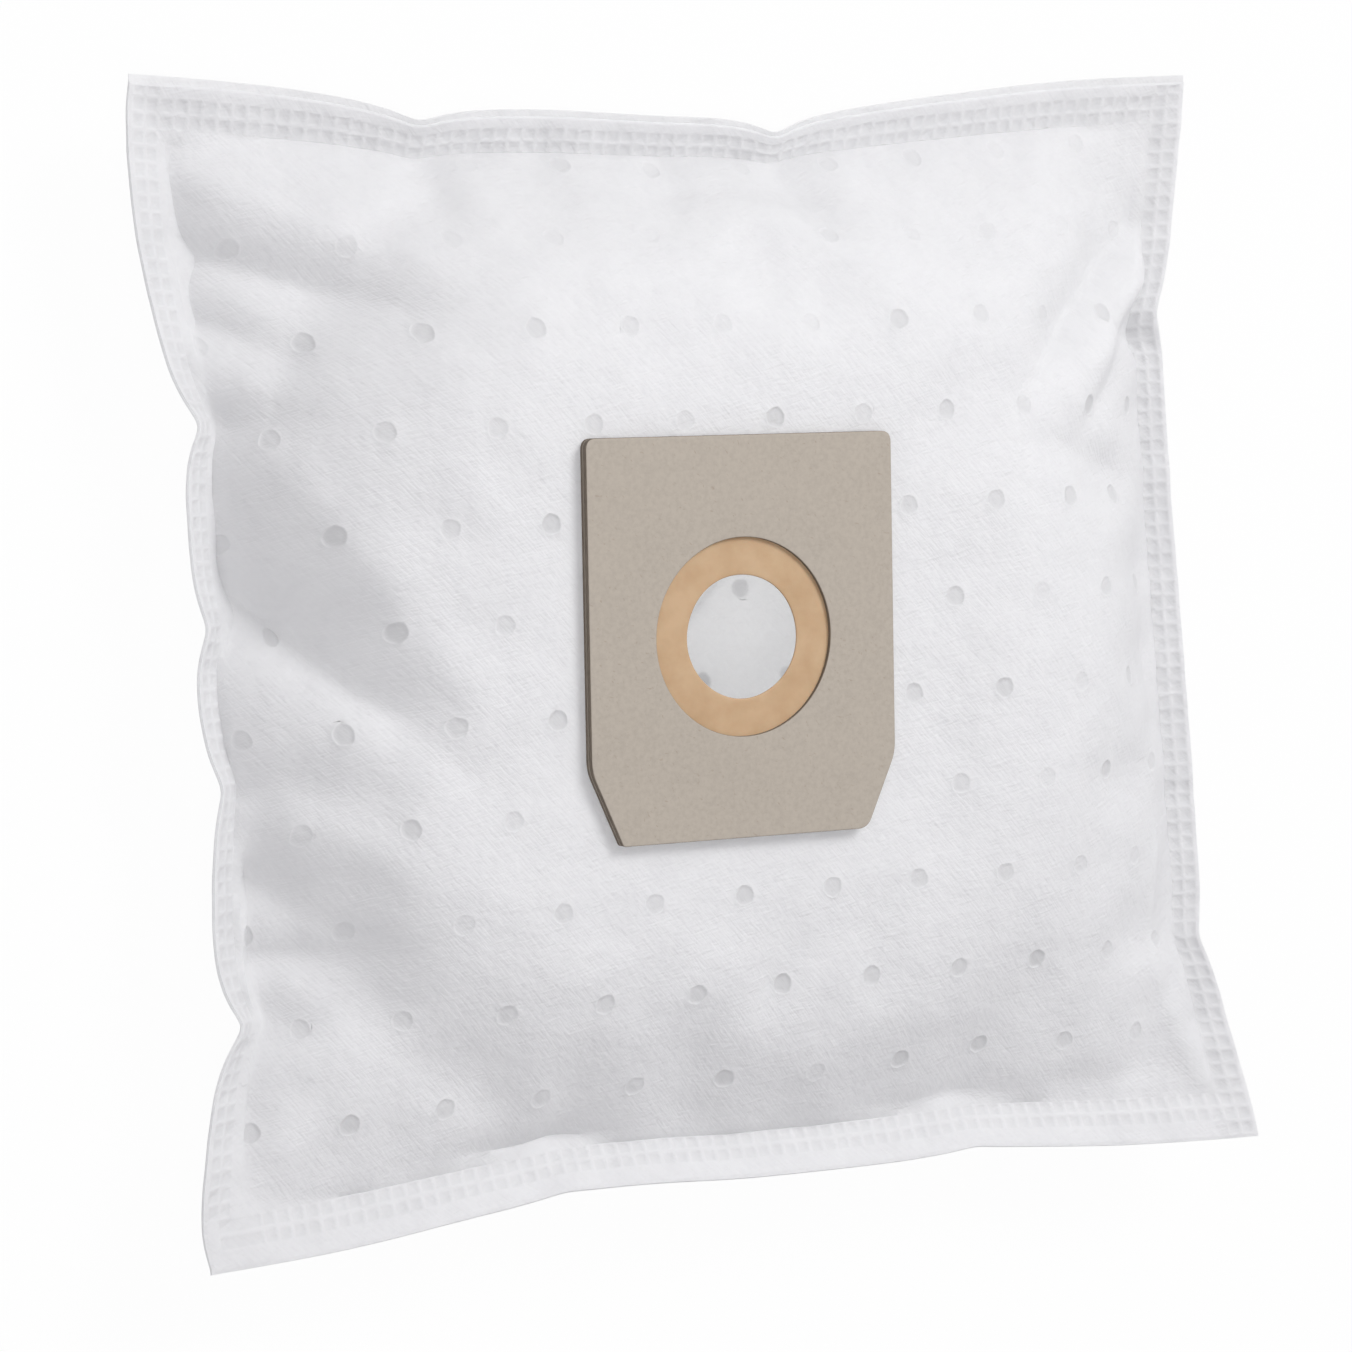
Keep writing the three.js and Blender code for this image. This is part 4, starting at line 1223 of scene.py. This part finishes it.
def card_piece(name, collar, hole_radius, bottom, thickness, material, placed):
    """A card with a round hole: loops that run from the hole over the face to the outline,
    down the cut edge and back underneath, with a worn bevel at each edge."""
    outline = card_outline(collar)
    turn = np.arctan2(outline[:, 1], outline[:, 0])
    ahead = np.roll(outline, -1, axis=0) - np.roll(outline, 1, axis=0)
    outwards = np.stack([ahead[:, 1], -ahead[:, 0]], axis=1)
    outwards /= np.linalg.norm(outwards, axis=1, keepdims=True)
    bevel = collar.bevel
    top = bottom + thickness
    round_hole = np.stack([np.cos(turn), np.sin(turn)], axis=1)

    def at_hole(inset, height):
        return np.column_stack([round_hole * (hole_radius + inset), np.full(len(turn), height)])

    def at_edge(inset, height):
        return np.column_stack([outline - outwards * inset, np.full(len(turn), height)])

    faces = []
    for height, low in ((top, False), (bottom, True)):
        start = at_hole(3 * bevel, height)
        end = at_edge(3 * bevel, height)
        between = [start + (end - start) * t for t in np.linspace(0, 1, 9)]
        faces.append(between[::-1] if low else between)
    loops = [
        at_hole(0, bottom + bevel),
        at_hole(0, top - bevel),
        at_hole(bevel * 0.3, top - bevel * 0.3),
        at_hole(bevel, top),
        *faces[0],
        at_edge(bevel, top),
        at_edge(bevel * 0.3, top - bevel * 0.3),
        at_edge(0, top - bevel),
        at_edge(0, bottom + bevel),
        at_edge(bevel * 0.3, bottom + bevel * 0.3),
        at_edge(bevel, bottom),
        *faces[1],
        at_hole(bevel, bottom),
        at_hole(bevel * 0.3, bottom + bevel * 0.3),
    ]
    # Where the darker cut edge colour goes on the walls and bevels: partly the board's own edge, partly
    # painted shade
    cut = [1, 1, 0.6, 0] + [0] * 9 + [0, 0.6, 1, 1, 0.6, 0] + [0] * 9 + [0, 0.6]
    loops = [loop[::-1] for loop in loops]
    return closed_band(name, loops, {"cut": cut}, material, placed)


def replace_node(piece, node):
    """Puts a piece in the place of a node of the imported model."""
    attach(piece, "root")
    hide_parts(node)


class OBJECT_OT_dust_bag_panels(bpy.types.Operator):
    """Makes the two welded nonwoven panels"""

    bl_idname = "object.dust_bag_panels"
    bl_label = "Make panels"

    def execute(self, context):
        scene = context.scene
        form = BagForm(scene)
        for side in ("front", "back"):
            simulate_panel(form, side)
        material = nonwoven_material(scene.dust_bag_colours)
        for side in ("front", "back"):
            piece = PanelMesh(form, side).finish(f"{side}_sheet", material)
            replace_node(piece, f"{side}_panel")
        return {"FINISHED"}


class OBJECT_OT_dust_bag_collar(bpy.types.Operator):
    """Makes the two cards of the collar"""

    bl_idname = "object.dust_bag_collar"
    bl_label = "Make collar cards"

    def execute(self, context):
        collar = context.scene.dust_bag_collar
        placed = BagForm(context.scene).collar_frame
        material = greyboard_material(context.scene.dust_bag_colours)
        level = collar.backing_thickness + collar.glue_line
        cards = (
            ("backing_board", "backing_card", collar.inlet / 2, 0, collar.backing_thickness),
            ("collar_board", "collar_card", collar.window / 2, level, collar.front_thickness),
        )
        for name, node, radius, bottom, thickness in cards:
            piece = card_piece(name, collar, radius, bottom, thickness, material, placed)
            replace_node(piece, node)
        return {"FINISHED"}


class OBJECT_OT_dust_bag_ring(bpy.types.Operator):
    """Makes the rubber sealing ring"""

    bl_idname = "object.dust_bag_ring"
    bl_label = "Make sealing ring"

    def execute(self, context):
        collar = context.scene.dust_bag_collar
        placed = BagForm(context.scene).collar_frame
        material = latex_material(context.scene.dust_bag_colours)
        piece = closed_band("sealing_ring", self.loops(collar), {}, material, placed)
        replace_node(piece, "rubber_gasket")
        return {"FINISHED"}

    def profile(self, collar):
        """The ring's section as radius and height: a half circle round the hole's lip, the
        top face outwards, the outer edge and the underside back."""
        low = collar.backing_thickness + collar.glue_line
        top = low + collar.ring_thickness
        lip = collar.ring_thickness / 2
        hole = collar.ring_hole / 2
        outer = collar.ring_outer / 2
        turns = np.linspace(math.pi, 0, 7)
        places = [(hole + lip * (1 - math.sin(t)), low + lip * (1 + math.cos(t))) for t in turns]
        places += [(hole + (outer - hole) * share, top) for share in (0.1, 0.3, 0.6, 0.9, 0.995)]
        places += [(outer, top - 0.1 * MM), (outer, low + 0.1 * MM)]
        places += [(hole + (outer - hole) * share, low) for share in (0.995, 0.6, 0.1)]
        return places

    def loops(self, collar):
        """One loop for each place of the section. Two cosines of the angle make the hole
        uneven, and fade towards the outside."""
        hole = collar.ring_hole / 2
        outer = collar.ring_outer / 2
        angle = np.linspace(0, -2 * math.pi, 180, endpoint=False)
        uneven = 0.006 * np.cos(2 * angle + 0.6) + 0.003 * np.cos(5 * angle + 2)
        result = []
        for radius, height in self.profile(collar):
            share = np.clip((outer - radius) / (outer - hole), 0, 1)
            reach = radius * (1 + uneven * share)
            level = np.full_like(angle, height)
            result.append(np.stack([reach * np.cos(angle), reach * np.sin(angle), level], 1))
        return result


class OBJECT_OT_dust_bag_stage(bpy.types.Operator):
    """Makes the floor, the lights and the camera"""

    bl_idname = "object.dust_bag_stage"
    bl_label = "Make stage"

    def execute(self, context):
        scene = context.scene
        self.add_floor(scene)
        self.add_lights(scene)
        self.add_camera(scene, BagForm(scene).shift)
        scene.view_settings.view_transform = "Standard"
        return {"FINISHED"}

    def add_floor(self, scene):
        """A square of 8 m under the bag."""
        reach = 4.0
        corners = ((-1, -1, 0), (1, -1, 0), (1, 1, 0), (-1, 1, 0))
        face = np.array([[0, 1, 2, 3]])
        material = floor_material(scene.dust_bag_colours)
        mesh_object("floor", reach * np.array(corners), [face], material)

    def add_lights(self, scene):
        """A broad soft key from the upper right, a weak fill from the left, and an even
        pale sky."""
        lamps = (
            ("key", (0.72, 0.9, 1.35), 0.7, 20.5),
            ("fill", (-0.5, -0.1, 1.15), 0.3, 3.4),
        )
        for name, place, size, power in lamps:
            light = bpy.data.lights.new(name, "AREA")
            light.size = size
            light.energy = power
            lamp = bpy.data.objects.new(name, light)
            lamp.location = place
            lamp.rotation_euler = (-Vector(place)).to_track_quat("-Z", "Y").to_euler()
            scene.collection.objects.link(lamp)
        world = bpy.data.worlds.new("sky")
        world.use_nodes = True
        sky = world.node_tree.nodes["Background"].inputs
        sky["Color"].default_value = (0.985, 0.97, 1, 1)
        sky["Strength"].default_value = 0.46
        scene.world = world

    def add_camera(self, scene, shift):
        """The photograph's viewpoint: 27 degrees off the bag's face from its left. The place
        is measured from the middle of the cut corners' level."""
        place = Vector((-554.0, 18.5, 1056.8)) * MM + Vector(shift)
        place.z += scene.dust_bag_fill.corner_rise
        back = -Vector((0.4532, -0.0234, -0.8911)).normalized()
        up = Vector((0.0644, 0.9979, 0.0065)).normalized()
        right = up.cross(back).normalized()
        up = back.cross(right)
        data = bpy.data.cameras.new("camera")
        data.sensor_width = 36
        data.lens = 113.37
        camera = bpy.data.objects.new("camera", data)
        turn = Matrix((right, up, back)).transposed().to_4x4()
        camera.matrix_world = Matrix.Translation(place) @ turn
        scene.collection.objects.link(camera)
        scene.camera = camera


class VIEW3D_PT_dust_bag(bpy.types.Panel):
    """Lists the dust bag's operators in the sidebar"""

    bl_label = "Dust bag"
    bl_idname = "VIEW3D_PT_dust_bag"
    bl_space_type = "VIEW_3D"
    bl_region_type = "UI"
    bl_category = "Dust bag"

    def draw(self, context):
        for operator in OPERATORS:
            self.layout.operator(operator.bl_idname)


OPERATORS = (
    OBJECT_OT_dust_bag_panels,
    OBJECT_OT_dust_bag_collar,
    OBJECT_OT_dust_bag_ring,
    OBJECT_OT_dust_bag_stage,
)
GROUPS = {
    "dust_bag_sheet": DustBagSheet,
    "dust_bag_fill": DustBagFill,
    "dust_bag_collar": DustBagCollar,
    "dust_bag_colours": DustBagColours,
}


def register():
    for group in GROUPS.values():
        bpy.utils.register_class(group)
    for name, group in GROUPS.items():
        setattr(bpy.types.Scene, name, PointerProperty(type=group))
    for operator in OPERATORS:
        bpy.utils.register_class(operator)
    bpy.utils.register_class(VIEW3D_PT_dust_bag)


def unregister():
    bpy.utils.unregister_class(VIEW3D_PT_dust_bag)
    for operator in reversed(OPERATORS):
        bpy.utils.unregister_class(operator)
    for name, group in GROUPS.items():
        delattr(bpy.types.Scene, name)
        bpy.utils.unregister_class(group)


def main():
    register()
    bpy.ops.object.dust_bag_panels()
    bpy.ops.object.dust_bag_collar()
    bpy.ops.object.dust_bag_ring()
    bpy.ops.object.dust_bag_stage()


if __name__ == "__main__":
    main()
